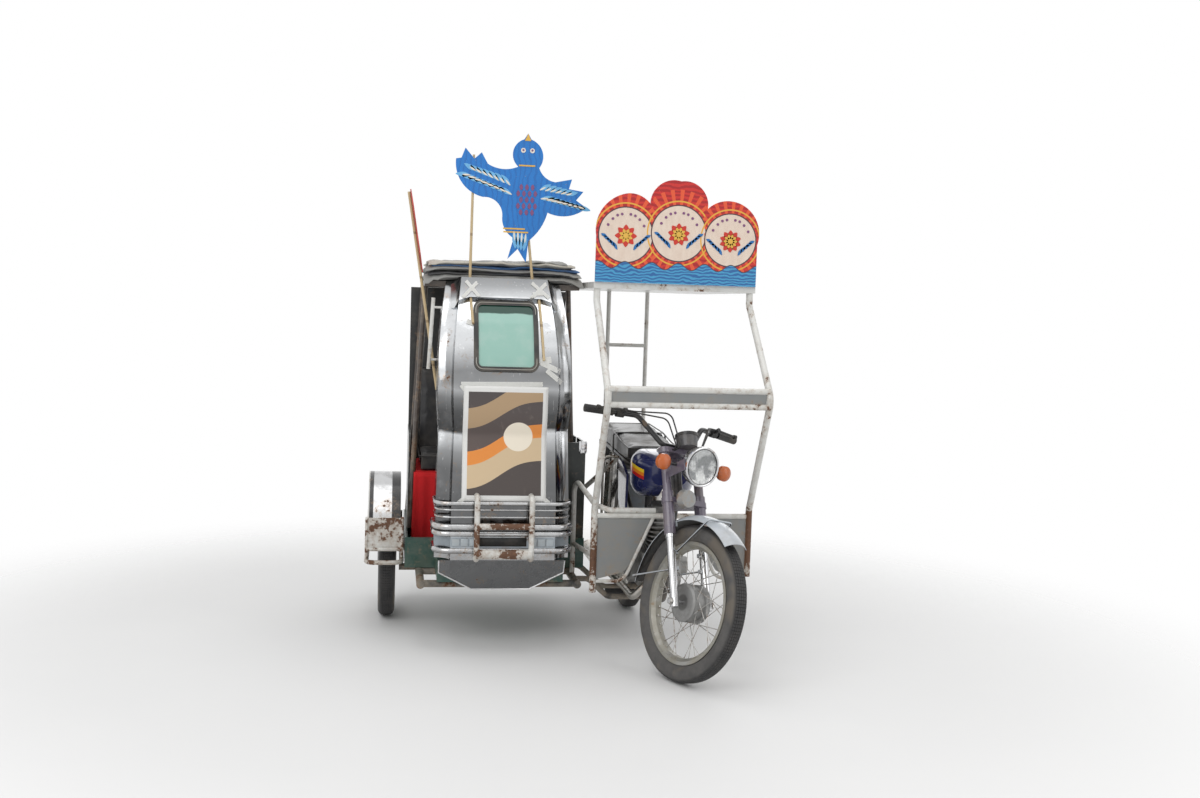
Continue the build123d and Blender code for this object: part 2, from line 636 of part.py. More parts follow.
# Sidecar chassis: two long tubes, cross tubes and the rear outrigger
LINK_Z = 184
REAR_STRUT_X = -262
RAIL_INNER_X = CAR_X - CABIN_HALF - 13
OUTRIGGER_YS = (SIDE_AXLE_Y - 230, SIDE_AXLE_Y + 230)
with BuildPart() as sidecar_chassis:
    chassis_xs = (CAR_X - 325, CAR_X + 325)
    for rail_x in chassis_xs:
        bar([(rail_x, 520, CHASSIS_Z), (rail_x, CABIN_REAR_Y - 20, CHASSIS_Z)], CHASSIS_TUBE)
    for cross_y in (545, 800, SIDE_AXLE_Y, CABIN_REAR_Y - 50):
        bar([(chassis_xs[0], cross_y, CHASSIS_Z), (chassis_xs[1], cross_y, CHASSIS_Z)], CHASSIS_TUBE - 2)
    for cross_y in OUTRIGGER_YS:
        bar([(chassis_xs[0], cross_y, CHASSIS_Z), (RAIL_INNER_X - 10, cross_y, CHASSIS_Z)], CHASSIS_TUBE - 2)
    bar([(chassis_xs[1], 640, CHASSIS_Z), (-285, 640, CHASSIS_Z), (-200, 640, LINK_Z), (-10, 640, LINK_Z)], 12, 40)
    bar([(chassis_xs[1], 930, CHASSIS_Z), (-285, 930, CHASSIS_Z), (-190, 845, LINK_Z), (-10, 845, LINK_Z)], 12, 40)
sidecar_chassis.part.label = "sidecar_chassis"
fixed.append(sidecar_chassis)

with BuildPart() as sidecar_struts:
    post_side = CANOPY_X - CANOPY_HALF
    upright_x = chassis_xs[1]
    low_reach = CANOPY_TUBE + SEAT_GAP
    bar(
        [
            (upright_x, 690, CHASSIS_Z + CHASSIS_TUBE + SEAT_GAP),
            (upright_x, 690, 690),
            (post_side + 6, POST_FOOT_Y + 24.6, 612),
            (post_side + 62, POST_FOOT_Y, CROSSBAR_Z + 2 * SHIELD_TUBE + SEAT_GAP),
            (CANOPY_X - 72, POST_FOOT_Y, CROSSBAR_Z + 2 * SHIELD_TUBE + SEAT_GAP),
        ],
        SHIELD_TUBE,
        [50, 20, 40],
    )
    bar([(upright_x, 690, 405), (post_side - 2.4, POST_FOOT_Y + low_reach, 405)], 10)
    bar(
        [
            (upright_x + CHASSIS_TUBE + SEAT_GAP, 1180, CHASSIS_Z),
            (REAR_STRUT_X, 1180, CHASSIS_Z),
            (REAR_STRUT_X, 1150, 560),
            (-SEAT_RAIL_X - 10.6, 1040, 734.6),
        ],
        11,
        30,
    )
sidecar_struts.part.label = "sidecar_struts"
fixed.append(sidecar_struts)

tub_floor_z = CHASSIS_Z + CHASSIS_TUBE + SEAT_GAP
tub_plan = (
    (-NOSE_HALF + WALL + SEAT_GAP, NOSE_Y + WALL + 62),
    (NOSE_HALF - WALL - SEAT_GAP, NOSE_Y + WALL + 62),
    (NOSE_HALF - WALL - SEAT_GAP, STEP_Y),
    (CABIN_HALF, STEP_Y),
    (CABIN_HALF, CABIN_REAR_Y),
    (-CABIN_HALF, CABIN_REAR_Y),
    (-CABIN_HALF, STEP_Y),
    (-NOSE_HALF + WALL + SEAT_GAP, STEP_Y),
)
with BuildPart() as lower_tub:
    with BuildSketch(Plane((CAR_X, 0, tub_floor_z))):
        Polygon(*tub_plan, align=None)
    extrude(amount=TUB_TOP_Z - tub_floor_z)
    with BuildSketch(Plane((CAR_X, 0, TUB_TOP_Z))) as tub_inside:
        Polygon(*tub_plan, align=None)
        offset(amount=-WALL, kind=Kind.INTERSECTION, mode=Mode.REPLACE)
    extrude(amount=-(TUB_TOP_Z - tub_floor_z - WALL), mode=Mode.SUBTRACT)
lower_tub.part.label = "lower_tub"
fixed.append(lower_tub)

# Nose and hood: level sections, front edge, half width and height
CORNER = 60


def front_section(plane_z, front_y, half, rear_y, corner):
    """Level outline with rounded front corners, open to the rear."""
    with BuildSketch(Plane((CAR_X, 0, plane_z))) as outline:
        with BuildLine():
            Polyline((-half, front_y + corner), (-half, rear_y), (half, rear_y), (half, front_y + corner))
            RadiusArc((half, front_y + corner), (half - corner, front_y), -corner)
            Line((half - corner, front_y), (-half + corner, front_y))
            RadiusArc((-half + corner, front_y), (-half, front_y + corner), -corner)
        make_face()
    return outline.sketch


SLOT_HALF = 96
SLOT_LOW = 442
SLOT_HIGH = 482
# Columns: height, front edge, half width
nose_sections = ((386, NOSE_Y, NOSE_HALF), (622, NOSE_Y, NOSE_HALF), (905, 465, NOSE_HALF - 6))
hood_sections = (
    (905 + SEAT_GAP, 462, NOSE_HALF - 8),
    (1070, 438, NOSE_HALF + 1),
    (1230, 482, NOSE_HALF - 2),
    (1380, 566, NOSE_HALF - 14),
    (ROOF_Z, 688, NOSE_HALF - 32),
)
with BuildPart() as nose:
    loft([front_section(z, y, half, 640, CORNER) for z, y, half in nose_sections], ruled=True)
    loft(
        [front_section(z, y + WALL, half - WALL, 700, CORNER - WALL) for z, y, half in nose_sections],
        ruled=True,
        mode=Mode.SUBTRACT,
    )
    block(CAR_X - SLOT_HALF, CAR_X + SLOT_HALF, NOSE_Y - 40, NOSE_Y + 40, SLOT_LOW, SLOT_HIGH, mode=Mode.SUBTRACT)
nose.part.label = "nose"
fixed.append(nose)

WINDOW_HALF = 133
WINDOW_LOW = 1149
WINDOW_HIGH = 1437
WINDOW_CORNER = 38
GASKET_WIDTH = 20


def hood_form(outward, rise, rear_y, mode=Mode.ADD):
    """The hood's shape as a solid, its outer face moved outward and its top raised."""
    loft(
        [
            front_section(z + (rise if z == ROOF_Z else 0), y - outward, half + outward, rear_y, CORNER + outward)
            for z, y, half in hood_sections
        ],
        mode=mode,
    )


def hood_skin(outward, inward):
    """The hood's shape as a skin between two offsets from its outer face, positive outward."""
    hood_form(outward, 0, HOOD_REAR_Y)
    hood_form(inward, -WALL, HOOD_REAR_Y + 60, Mode.SUBTRACT)


def window_outline(inset):
    """The window's front outline, drawn in by an inset, reaching through the hood's front."""
    with BuildSketch(Plane.XZ.offset(-380)) as outline:
        with Locations((CAR_X, (WINDOW_LOW + WINDOW_HIGH) / 2)):
            RectangleRounded(
                2 * (WINDOW_HALF - inset), WINDOW_HIGH - WINDOW_LOW - 2 * inset, WINDOW_CORNER - inset
            )
    return outline.sketch


VISOR_PROUD = 18
WING_HALF = NOSE_HALF - 50
WING_LOW = 1400
VISOR_LOW = 1448
with BuildPart() as visor_cap:
    hood_form(VISOR_PROUD, VISOR_PROUD, HOOD_REAR_Y)
    with BuildSketch(Plane.XZ.offset(-380)) as wings:
        Polygon(
            (CAR_X - WING_HALF, ROOF_Z + 40),
            (CAR_X - WING_HALF, WING_LOW),
            (CAR_X - WING_HALF + 12, WING_LOW),
            (CAR_X - WING_HALF + 30, WING_LOW + 34),
            (CAR_X - WING_HALF + 74, VISOR_LOW),
            (CAR_X + WING_HALF - 74, VISOR_LOW),
            (CAR_X + WING_HALF - 30, WING_LOW + 34),
            (CAR_X + WING_HALF - 12, WING_LOW),
            (CAR_X + WING_HALF, WING_LOW),
            (CAR_X + WING_HALF, ROOF_Z + 40),
            align=None,
        )
    extrude(wings.sketch, amount=-326, mode=Mode.INTERSECT)

with BuildPart() as hood:
    hood_form(0, 0, HOOD_REAR_Y)
    add(visor_cap.part)
    hood_form(-WALL, -WALL, HOOD_REAR_Y + 60, Mode.SUBTRACT)
    extrude(window_outline(0), amount=-340, mode=Mode.SUBTRACT)
hood.part.label = "hood"
fixed.append(hood)

with BuildPart() as window_gasket:
    hood_skin(6, -10)
    extrude(window_outline(SEAT_GAP), amount=-340, mode=Mode.INTERSECT)
    extrude(window_outline(GASKET_WIDTH), amount=-340, mode=Mode.SUBTRACT)
window_gasket.part.label = "window_gasket"
fixed.append(window_gasket)

with BuildPart() as window_glass:
    hood_skin(0, -6)
    extrude(window_outline(GASKET_WIDTH + SEAT_GAP), amount=-340, mode=Mode.INTERSECT)
window_glass.part.label = "window_glass"
fixed.append(window_glass)

# Ribs round the nose, the light boxes between them and the plate below. Rib columns: height, radius
nose_ribs = ((616, 8), (590, 4), (560, 4), (521, 13), (493, 12), (424, 12))
with BuildPart() as nose_trim:
    for rib_z, rib_radius in nose_ribs:
        edge_x = NOSE_HALF + rib_radius * 0.4
        edge_y = NOSE_Y - rib_radius * 0.4
        bar(
            [
                (CAR_X - edge_x, 580, rib_z),
                (CAR_X - edge_x, edge_y, rib_z),
                (CAR_X + edge_x, edge_y, rib_z),
                (CAR_X + edge_x, 580, rib_z),
            ],
            rib_radius,
            CORNER,
        )
    extrude(front_section(434, NOSE_Y - 10, NOSE_HALF + 3, 560, CORNER + 3), amount=52)
    extrude(front_section(386, NOSE_Y - 7, NOSE_HALF + 3, 560, CORNER + 3), amount=36)
    extrude(
        front_section(380, NOSE_Y - SEAT_GAP, NOSE_HALF + SEAT_GAP, 660, CORNER + SEAT_GAP),
        amount=260,
        mode=Mode.SUBTRACT,
    )
    block(CAR_X - SLOT_HALF, CAR_X + SLOT_HALF, NOSE_Y - 60, NOSE_Y + 5, SLOT_LOW, SLOT_HIGH - 3, mode=Mode.SUBTRACT)
nose_trim.part.label = "nose_trim"
fixed.append(nose_trim)

SKIRT_DROP = 135
SKIRT_RAKE = 72
SKIRT_HALF = NOSE_HALF - 15
skirt_length = hypot(SKIRT_DROP, SKIRT_RAKE)
with BuildPart() as skirt:
    with BuildSketch(
        Plane(
            origin=(CAR_X, NOSE_Y + 8, 386 - 3.2),
            x_dir=(1, 0, 0),
            z_dir=(0, -SKIRT_DROP / skirt_length, -SKIRT_RAKE / skirt_length),
        )
    ):
        Polygon(
            (-SKIRT_HALF, 0), (SKIRT_HALF, 0), (SKIRT_HALF, -64), (120, -skirt_length), (-120, -skirt_length),
            (-SKIRT_HALF, -64), align=None,
        )
    extrude(amount=-6)
skirt.part.label = "skirt"
fixed.append(skirt)

BULL_HALF = 110
BULL_Y = 358
with BuildPart() as bull_bar:
    for side in (-1, 1):
        x = CAR_X + side * BULL_HALF
        bar([(x, NOSE_Y + 2.4, 648), (x, BULL_Y, 648), (x, BULL_Y, 396), (x, NOSE_Y - 7 - SEAT_GAP, 396)], 11.5, 22)
    for bar_z, bar_radius in ((532, 13), (420, 20)):
        bar([(CAR_X - BULL_HALF, BULL_Y, bar_z), (CAR_X + BULL_HALF, BULL_Y, bar_z)], bar_radius)
bull_bar.part.label = "bull_bar"
fixed.append(bull_bar)

with BuildPart() as grab_rail:
    rail_x = CAR_X - NOSE_HALF - 30
    bar([(rail_x + 10, 735, 1440), (rail_x - 5, 725, 1140)], 8)
    for hold_z, hold_half in ((1400, NOSE_HALF - 15.7), (1180, NOSE_HALF + 1)):
        rail_at = rail_x + 10 - 15 * (1440 - hold_z) / 300
        bar([(CAR_X - hold_half - SEAT_GAP, 732, hold_z), (rail_at, 732, hold_z)], 5)
grab_rail.part.label = "grab_rail"
fixed.append(grab_rail)

# Cabin posts, panels and roof
POST_RADIUS = 12
ROOF_HALF = CABIN_HALF - 58
SEAT_HALF = CABIN_HALF - 43
CUSHION_HALF = SEAT_HALF - 8
post_x = CABIN_HALF - 18
with BuildPart() as cabin_roof:
    for post_y in (DOOR_POST_Y, CABIN_REAR_Y - 30):
        for side in (-1, 1):
            bar(
                [
                    (CAR_X + side * post_x, post_y, TUB_TOP_Z + SEAT_GAP),
                    (CAR_X + side * (post_x - 52), post_y, ROOF_Z - 15),
                ],
                POST_RADIUS,
            )
    block(CAR_X - ROOF_HALF, CAR_X + ROOF_HALF, HOOD_REAR_Y + SEAT_GAP, CABIN_REAR_Y, ROOF_Z - 22, ROOF_Z)
cabin_roof.part.label = "cabin_roof"
fixed.append(cabin_roof)

with BuildPart() as side_panels:
    for side in (-1, 1):
        x_in = CAR_X + side * (CABIN_HALF - 14)
        block(
            x_in - 3,
            x_in + 3,
            DOOR_POST_Y + POST_RADIUS + SEAT_GAP,
            CABIN_REAR_Y - 30 - POST_RADIUS - SEAT_GAP,
            TUB_TOP_Z + SEAT_GAP,
            SIDE_TOP_Z,
        )
    near = CAR_X + NOSE_HALF
    far = CAR_X + CABIN_HALF - 4
    with BuildSketch(Plane.XY.offset(TUB_TOP_Z + SEAT_GAP)):
        with BuildLine():
            Polyline(
                (near - 8, 640 + SEAT_GAP),
                (near, 640 + SEAT_GAP),
                (near, STEP_Y + 4),
                (far, STEP_Y + 4),
                (far, DOOR_POST_Y - POST_RADIUS - SEAT_GAP),
                (far - 8, DOOR_POST_Y - POST_RADIUS - SEAT_GAP),
                (far - 8, STEP_Y + 12),
                (near - 8, STEP_Y + 12),
                close=True,
            )
        make_face()
    extrude(amount=SIDE_TOP_Z - TUB_TOP_Z)
side_panels.part.label = "side_panels"
fixed.append(side_panels)

with BuildPart() as back_panel:
    block(
        CAR_X - CABIN_HALF + 14,
        CAR_X + CABIN_HALF - 14,
        CABIN_REAR_Y - 17,
        CABIN_REAR_Y - 7,
        TUB_TOP_Z + SEAT_GAP,
        ROOF_Z - 22 - SEAT_GAP,
    )
    block(CAR_X - 230, CAR_X + 230, CABIN_REAR_Y - 40, CABIN_REAR_Y + 20, 1160, 1400, mode=Mode.SUBTRACT)
back_panel.part.label = "back_panel"
fixed.append(back_panel)

BENCH_Z = 668
with BuildPart() as seat_base:
    base_back_y = CABIN_REAR_Y - 60
    base_low = tub_floor_z + WALL + SEAT_GAP
    block(CAR_X - SEAT_HALF, CAR_X + SEAT_HALF, SEAT_FRONT_Y, base_back_y, base_low, BENCH_Z)
    block(
        CAR_X - SEAT_HALF + WALL, CAR_X + SEAT_HALF - WALL, SEAT_FRONT_Y + WALL, base_back_y + 20,
        base_low - 2, BENCH_Z - WALL, mode=Mode.SUBTRACT,
    )
seat_base.part.label = "seat_base"
fixed.append(seat_base)

with BuildPart() as bench_cushion:
    block(CAR_X - CUSHION_HALF, CAR_X + CUSHION_HALF, SEAT_FRONT_Y - 8, SEAT_BACK_Y, BENCH_Z + SEAT_GAP, BENCH_Z + 72)
bench_cushion.part.label = "bench_cushion"
fixed.append(bench_cushion)

with BuildPart() as bench_back:
    block(
        CAR_X - CUSHION_HALF, CAR_X + CUSHION_HALF, SEAT_BACK_Y + SEAT_GAP, SEAT_BACK_Y + 90,
        BENCH_Z + SEAT_GAP, BENCH_Z + 452,
    )
bench_back.part.label = "bench_back"
fixed.append(bench_back)

with BuildPart() as roof_tarp:
    block(
        CAR_X - CABIN_HALF + 53, CAR_X + CABIN_HALF - 43, 728, CABIN_REAR_Y - 80,
        ROOF_Z + SEAT_GAP, ROOF_Z + 93,
    )
roof_tarp.part.label = "roof_tarp"
fixed.append(roof_tarp)

# Side wheel guard and rail
SIDE_GUARD_RADIUS = GUARD_RADIUS + 8
SIDE_GUARD_FOOT = 13.7
with BuildPart() as side_mudguard:
    centre = Vector(-SIDE_TRACK - 15, SIDE_AXLE_Y, TYRE_RADIUS)
    start = Vector(0, -cos(radians(SIDE_GUARD_FOOT)), sin(radians(SIDE_GUARD_FOOT)))
    with BuildSketch(Plane(origin=centre, x_dir=start, z_dir=start.cross(Vector(1, 0, 0)))):
        with Locations((SIDE_GUARD_RADIUS, 0)):
            Rectangle(SHEET, 140)
    revolve(axis=Axis(centre, (-1, 0, 0)), revolution_arc=180 - 2 * SIDE_GUARD_FOOT)
side_mudguard.part.label = "side_mudguard"
fixed.append(side_mudguard)

rail_reach = SIDE_GUARD_RADIUS * cos(radians(SIDE_GUARD_FOOT)) + SHEET / 2 + SEAT_GAP + 7
RAIL_FRONT_Y = SIDE_AXLE_Y - rail_reach
RAIL_REAR_Y = SIDE_AXLE_Y + rail_reach
with BuildPart() as wheel_rail:
    rail_z = TYRE_RADIUS
    inner_x = RAIL_INNER_X
    outer_x = -SIDE_TRACK - 88
    front_half = [
        (inner_x, SIDE_AXLE_Y, rail_z),
        (inner_x, RAIL_FRONT_Y, rail_z),
        (outer_x, RAIL_FRONT_Y, rail_z),
        (outer_x, SIDE_AXLE_Y, rail_z),
    ]
    rear_half = [
        (outer_x, SIDE_AXLE_Y, rail_z),
        (outer_x, RAIL_REAR_Y, rail_z),
        (inner_x, RAIL_REAR_Y, rail_z),
        (inner_x, SIDE_AXLE_Y, rail_z),
    ]
    bar(front_half, 10, 40)
    bar(rear_half, 10, 40)
    bar([(inner_x, RAIL_FRONT_Y, 360), (outer_x, RAIL_FRONT_Y, 360)], 9)
    for upright_x in (inner_x, outer_x):
        bar([(upright_x, RAIL_FRONT_Y + 40, rail_z), (upright_x, RAIL_FRONT_Y, 360), (upright_x, RAIL_FRONT_Y, 495)], 7)
    with BuildSketch(Plane(origin=(outer_x, SIDE_AXLE_Y, rail_z), x_dir=(0, 1, 0), z_dir=(1, 0, 0))):
        Circle(AXLE_RADIUS)
    extrude(amount=inner_x - outer_x)
    for foot_y in OUTRIGGER_YS:
        bar([(inner_x, foot_y, CHASSIS_Z + CHASSIS_TUBE - 2 + SEAT_GAP), (inner_x, foot_y, rail_z)], 8)
    block(outer_x + 4, inner_x - 4, RAIL_FRONT_Y - 2, RAIL_FRONT_Y + 2, 370, 495)
    for upright_x in (inner_x, outer_x):
        bar([(upright_x, RAIL_REAR_Y, rail_z), (upright_x, RAIL_REAR_Y, 420)], 7)
wheel_rail.part.label = "wheel_rail"
fixed.append(wheel_rail)

# Rider's canopy
post_route = (
    (POST_FOOT_Y, POST_ELBOW_Z),
    (KNEE_Y, KNEE_Z),
    (CANOPY_FRONT_Y + 22, CANOPY_ROOF_Z - 50),
    (CANOPY_FRONT_Y + 22, CANOPY_ROOF_Z - SEAT_GAP),
)
VISOR_BAR = 12
VISOR_SPREAD = 31
VISOR_Y = KNEE_Y + 17
# Columns: side, height of the post's foot
post_feet = ((-1, 255), (1, 320))
BORDER_DROP = 12
with BuildPart() as canopy_frame:
    for side, foot_z in post_feet:
        x = CANOPY_X + side * CANOPY_HALF
        bar([(x, POST_FOOT_Y, foot_z)] + [(x, y, z) for y, z in post_route], CANOPY_TUBE, [60, 60, 20])
        border_out = x - side * CANOPY_TUBE / 2
        bar(
            [
                (border_out, POST_FOOT_Y, max(SHIELD_LOW, foot_z + BORDER_DROP)),
                (x - side * 128, POST_FOOT_Y, SHIELD_LOW),
                (x - side * SHIELD_REACH, POST_FOOT_Y, CROSSBAR_Z),
            ],
            BORDER_RADIUS,
            60,
        )
    for bar_z in (KNEE_Z - VISOR_SPREAD, KNEE_Z + VISOR_SPREAD):
        bar([(CANOPY_X - CANOPY_HALF, VISOR_Y, bar_z), (CANOPY_X + CANOPY_HALF, VISOR_Y, bar_z)], VISOR_BAR)
    bar([(CANOPY_X - CANOPY_HALF, POST_FOOT_Y, CROSSBAR_Z), (CANOPY_X + CANOPY_HALF, POST_FOOT_Y, CROSSBAR_Z)], 11)
    for side in (-1, 1):
        bar([(side * SEAT_RAIL_X, FRAME_END_Y, 776), (side * SEAT_RAIL_X, FRAME_END_Y, CANOPY_ROOF_Z - SEAT_GAP)], 10)
    bar([(-SEAT_RAIL_X, FRAME_END_Y, 1240), (SEAT_RAIL_X, FRAME_END_Y, 1240)], 9)
canopy_frame.part.label = "canopy_frame"
fixed.append(canopy_frame)

with BuildPart() as canopy_panels:
    block(
        CANOPY_X - CANOPY_HALF + CANOPY_TUBE + 1,
        CANOPY_X + CANOPY_HALF - CANOPY_TUBE - 1,
        VISOR_Y - 3,
        VISOR_Y + 3,
        KNEE_Z - VISOR_SPREAD + VISOR_BAR + SEAT_GAP,
        KNEE_Z + VISOR_SPREAD - VISOR_BAR - SEAT_GAP,
    )
    for side, foot_z in post_feet:
        x = CANOPY_X + side * CANOPY_HALF
        edge = x - side * (CANOPY_TUBE + SEAT_GAP)
        top = CROSSBAR_Z - SHIELD_TUBE - SEAT_GAP
        low = max(SHIELD_LOW, foot_z + BORDER_DROP) + BORDER_RADIUS + 2
        with BuildSketch(Plane.XZ.offset(-POST_FOOT_Y - 3)):
            Polygon(
                (edge, top),
                (x - side * (SHIELD_REACH - 15), top),
                (x - side * 154, 378),
                (x - side * 134, 346),
                (x - side * 112, 334),
                (edge, low),
                align=None,
            )
        extrude(amount=6)
canopy_panels.part.label = "canopy_panels"
fixed.append(canopy_panels)

with BuildPart() as canopy_roof:
    block(
        CANOPY_X - CANOPY_HALF - 18, CANOPY_X + CANOPY_HALF + 18, CANOPY_FRONT_Y, CANOPY_REAR_Y,
        CANOPY_ROOF_Z, CANOPY_ROOF_Z + CANOPY_ROOF_THICK,
    )
canopy_roof.part.label = "canopy_roof"
fixed.append(canopy_roof)

# Sign board
BOARD_LOW = CANOPY_ROOF_Z + CANOPY_ROOF_THICK + SEAT_GAP
with BuildPart() as sign_board:
    with BuildSketch(Plane.XZ.offset(-CANOPY_FRONT_Y)):
        with BuildLine():
            Polyline((-318, 1715), (-318, BOARD_LOW), (362, BOARD_LOW), (362, 1700))
            ThreePointArc((362, 1700), (330, 1838), (232, 1878))
            ThreePointArc((232, 1878), (180, 1866), (146, 1842))
            ThreePointArc((146, 1842), (120, 1921), (30, 1950))
            ThreePointArc((30, 1950), (-66, 1926), (-96, 1852))
            ThreePointArc((-96, 1852), (-134, 1882), (-190, 1892))
            ThreePointArc((-190, 1892), (-286, 1838), (-318, 1715))
        make_face()
    extrude(amount=12)
sign_board.part.label = "sign_board"
fixed.append(sign_board)

# Blue cut-out on two sticks, and the red leaf on its leaning stick
STICK_RADIUS = 6
STICK_Y = 701
CUTOUT_THICK = 6
LEAN_FOOT = Vector(CAR_X - NOSE_HALF + 4, HOOD_REAR_Y + STICK_RADIUS + SEAT_GAP, 1050)
LEAN_TOP = Vector(-1078, HOOD_REAR_Y + STICK_RADIUS + SEAT_GAP, 1880)
# Columns: foot x, top x, top height
stick_table = ((-818, -814, 2040), (-556, -606, 1960))
with BuildPart() as bamboo_sticks:
    for foot_x, top_x, top_z in stick_table:
        with BuildSketch(Plane.XY.offset(ROOF_Z + VISOR_PROUD + SEAT_GAP)) as foot:
            with Locations((foot_x, STICK_Y)):
                Circle(STICK_RADIUS)
        with BuildSketch(Plane.XY.offset(top_z)) as top:
            with Locations((top_x, STICK_Y)):
                Circle(STICK_RADIUS - 1)
        loft([foot.sketch, top.sketch])
    bar([LEAN_FOOT, LEAN_TOP], STICK_RADIUS)
bamboo_sticks.part.label = "bamboo_sticks"
fixed.append(bamboo_sticks)

with BuildPart() as blue_cutout:
    with BuildSketch(Plane.XZ.offset(-(STICK_Y - STICK_RADIUS - SEAT_GAP))):
        with BuildLine():
            Polyline((-640, 1700), (-664, 1612), (-622, 1655), (-586, 1600), (-578, 1690))
            ThreePointArc((-578, 1690), (-520, 1760), (-500, 1812))
            ThreePointArc((-500, 1812), (-420, 1800), (-335, 1838))
            Polyline((-335, 1838), (-380, 1868), (-350, 1905), (-412, 1914), (-400, 1955), (-470, 1940))
            ThreePointArc((-470, 1940), (-510, 1955), (-540, 1996))
            ThreePointArc((-540, 1996), (-528, 2064), (-576, 2112))
            Polyline((-576, 2112), (-590, 2137), (-606, 2112))
            ThreePointArc((-606, 2112), (-650, 2066), (-628, 1998))
            ThreePointArc((-628, 1998), (-690, 1985), (-756, 2004))
            Polyline((-756, 2004), (-782, 2050), (-812, 2022), (-850, 2066), (-866, 2024), (-888, 2020))
            ThreePointArc((-888, 2020), (-852, 1910), (-772, 1866))
            ThreePointArc((-772, 1866), (-700, 1830), (-690, 1790))
            ThreePointArc((-690, 1790), (-680, 1740), (-640, 1700))
        make_face()
    extrude(amount=CUTOUT_THICK)
blue_cutout.part.label = "blue_cutout"
fixed.append(blue_cutout)

lean_way = (LEAN_TOP - LEAN_FOOT).normalized()
with BuildPart() as red_cutout:
    with BuildSketch(
        Plane(origin=LEAN_TOP, x_dir=(0, 1, 0), z_dir=Vector(0, 1, 0).cross(lean_way)).offset(STICK_RADIUS + SEAT_GAP)
    ):
        Polygon((0, 10), (50, -60), (38, -180), (60, -260), (0, -340), (-60, -260), (-38, -180), (-50, -60), align=None)
    extrude(amount=5)
red_cutout.part.label = "red_cutout"
fixed.append(red_cutout)

# Number plate bracket and tail lamp on the frame's rear cross tube
BRACKET_Y = FRAME_END_Y + 10 + SEAT_GAP
PLATE_HOLE_HALF = 90
PLATE_HOLE_Z = 665
with BuildPart() as plate_bracket:
    block(-118, 118, BRACKET_Y, BRACKET_Y + 3, 610, 775)
    with BuildSketch(Plane.XZ.offset(-BRACKET_Y + 10)):
        with Locations((-PLATE_HOLE_HALF, PLATE_HOLE_Z), (PLATE_HOLE_HALF, PLATE_HOLE_Z)):
            Circle(3.5)
    extrude(amount=-30, mode=Mode.SUBTRACT)
plate_bracket.part.label = "plate_bracket"
fixed.append(plate_bracket)

with BuildPart() as tail_lamp:
    with BuildSketch(Plane.XZ.offset(-BRACKET_Y - 3 - SEAT_GAP)):
        with Locations((0, 732)):
            RectangleRounded(104, 66, 14)
    extrude(amount=-44, taper=8)
tail_lamp.part.label = "tail_lamp"
fixed.append(tail_lamp)

# The whole is moved so that the origin lies on the floor under the middle of its box
for piece in steered:
    piece.part.move(HEAD_PARKED.location)
boxes = [piece.part.bounding_box(optimal=True) for piece in steered + fixed]
middle_x = (min(box.min.X for box in boxes) + max(box.max.X for box in boxes)) / 2
middle_y = (min(box.min.Y for box in boxes) + max(box.max.Y for box in boxes)) / 2
print("origin moved by", -middle_x, -middle_y, "lowest", min(box.min.Z for box in boxes))

os.makedirs("parts", exist_ok=True)
for piece in steered + fixed:
    piece.part.move(Location((-middle_x, -middle_y, 0)))
    export_step(piece.part, f"parts/{piece.part.label}.step")
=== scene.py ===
from math import cos, pi, radians, sin, sqrt

import bmesh
import bpy
from mathutils import Matrix, Vector, noise
from mathutils.bvhtree import BVHTree


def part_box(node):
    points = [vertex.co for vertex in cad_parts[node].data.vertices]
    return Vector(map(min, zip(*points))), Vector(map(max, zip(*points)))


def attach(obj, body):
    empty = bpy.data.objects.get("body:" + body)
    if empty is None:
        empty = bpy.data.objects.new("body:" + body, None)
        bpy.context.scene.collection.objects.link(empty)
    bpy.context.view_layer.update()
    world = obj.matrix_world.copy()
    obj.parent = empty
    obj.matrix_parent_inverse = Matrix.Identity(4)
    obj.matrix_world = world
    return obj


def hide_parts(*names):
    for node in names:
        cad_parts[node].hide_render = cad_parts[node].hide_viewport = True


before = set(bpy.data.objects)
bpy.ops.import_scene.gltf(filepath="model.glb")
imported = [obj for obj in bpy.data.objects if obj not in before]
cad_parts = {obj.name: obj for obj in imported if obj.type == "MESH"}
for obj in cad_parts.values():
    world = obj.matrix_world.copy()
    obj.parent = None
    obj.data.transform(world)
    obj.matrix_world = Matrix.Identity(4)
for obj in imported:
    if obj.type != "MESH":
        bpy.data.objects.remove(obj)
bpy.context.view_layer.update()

# Places are given in millimetres from the floor point under the straight front axle
WHEELBASE = 1270
TYRE_RADIUS = 301.5
RAKE = radians(27)
PARKED = radians(26)
FORK_OFFSET = 42
CAR_X = -675
CANOPY_X = 22
BENCH_LEFT = CAR_X - 331
BENCH_RIGHT = CAR_X + 331
CABIN_BACK_Y = 1553
tyre_low, tyre_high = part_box("rear_tyre")
HOME = Vector(((tyre_low.x + tyre_high.x) / 2, (tyre_low.y + tyre_high.y) / 2 - WHEELBASE / 1000, 0))


def at(x, y, z):
    """The scene's point for a place in millimetres."""
    return HOME + Vector((x, y, z)) / 1000


def stand(origin, x, y, z):
    """Frame at a point of the scene with the given axes."""
    return Matrix.Translation(origin) @ Matrix((x, y, z)).transposed().to_4x4()


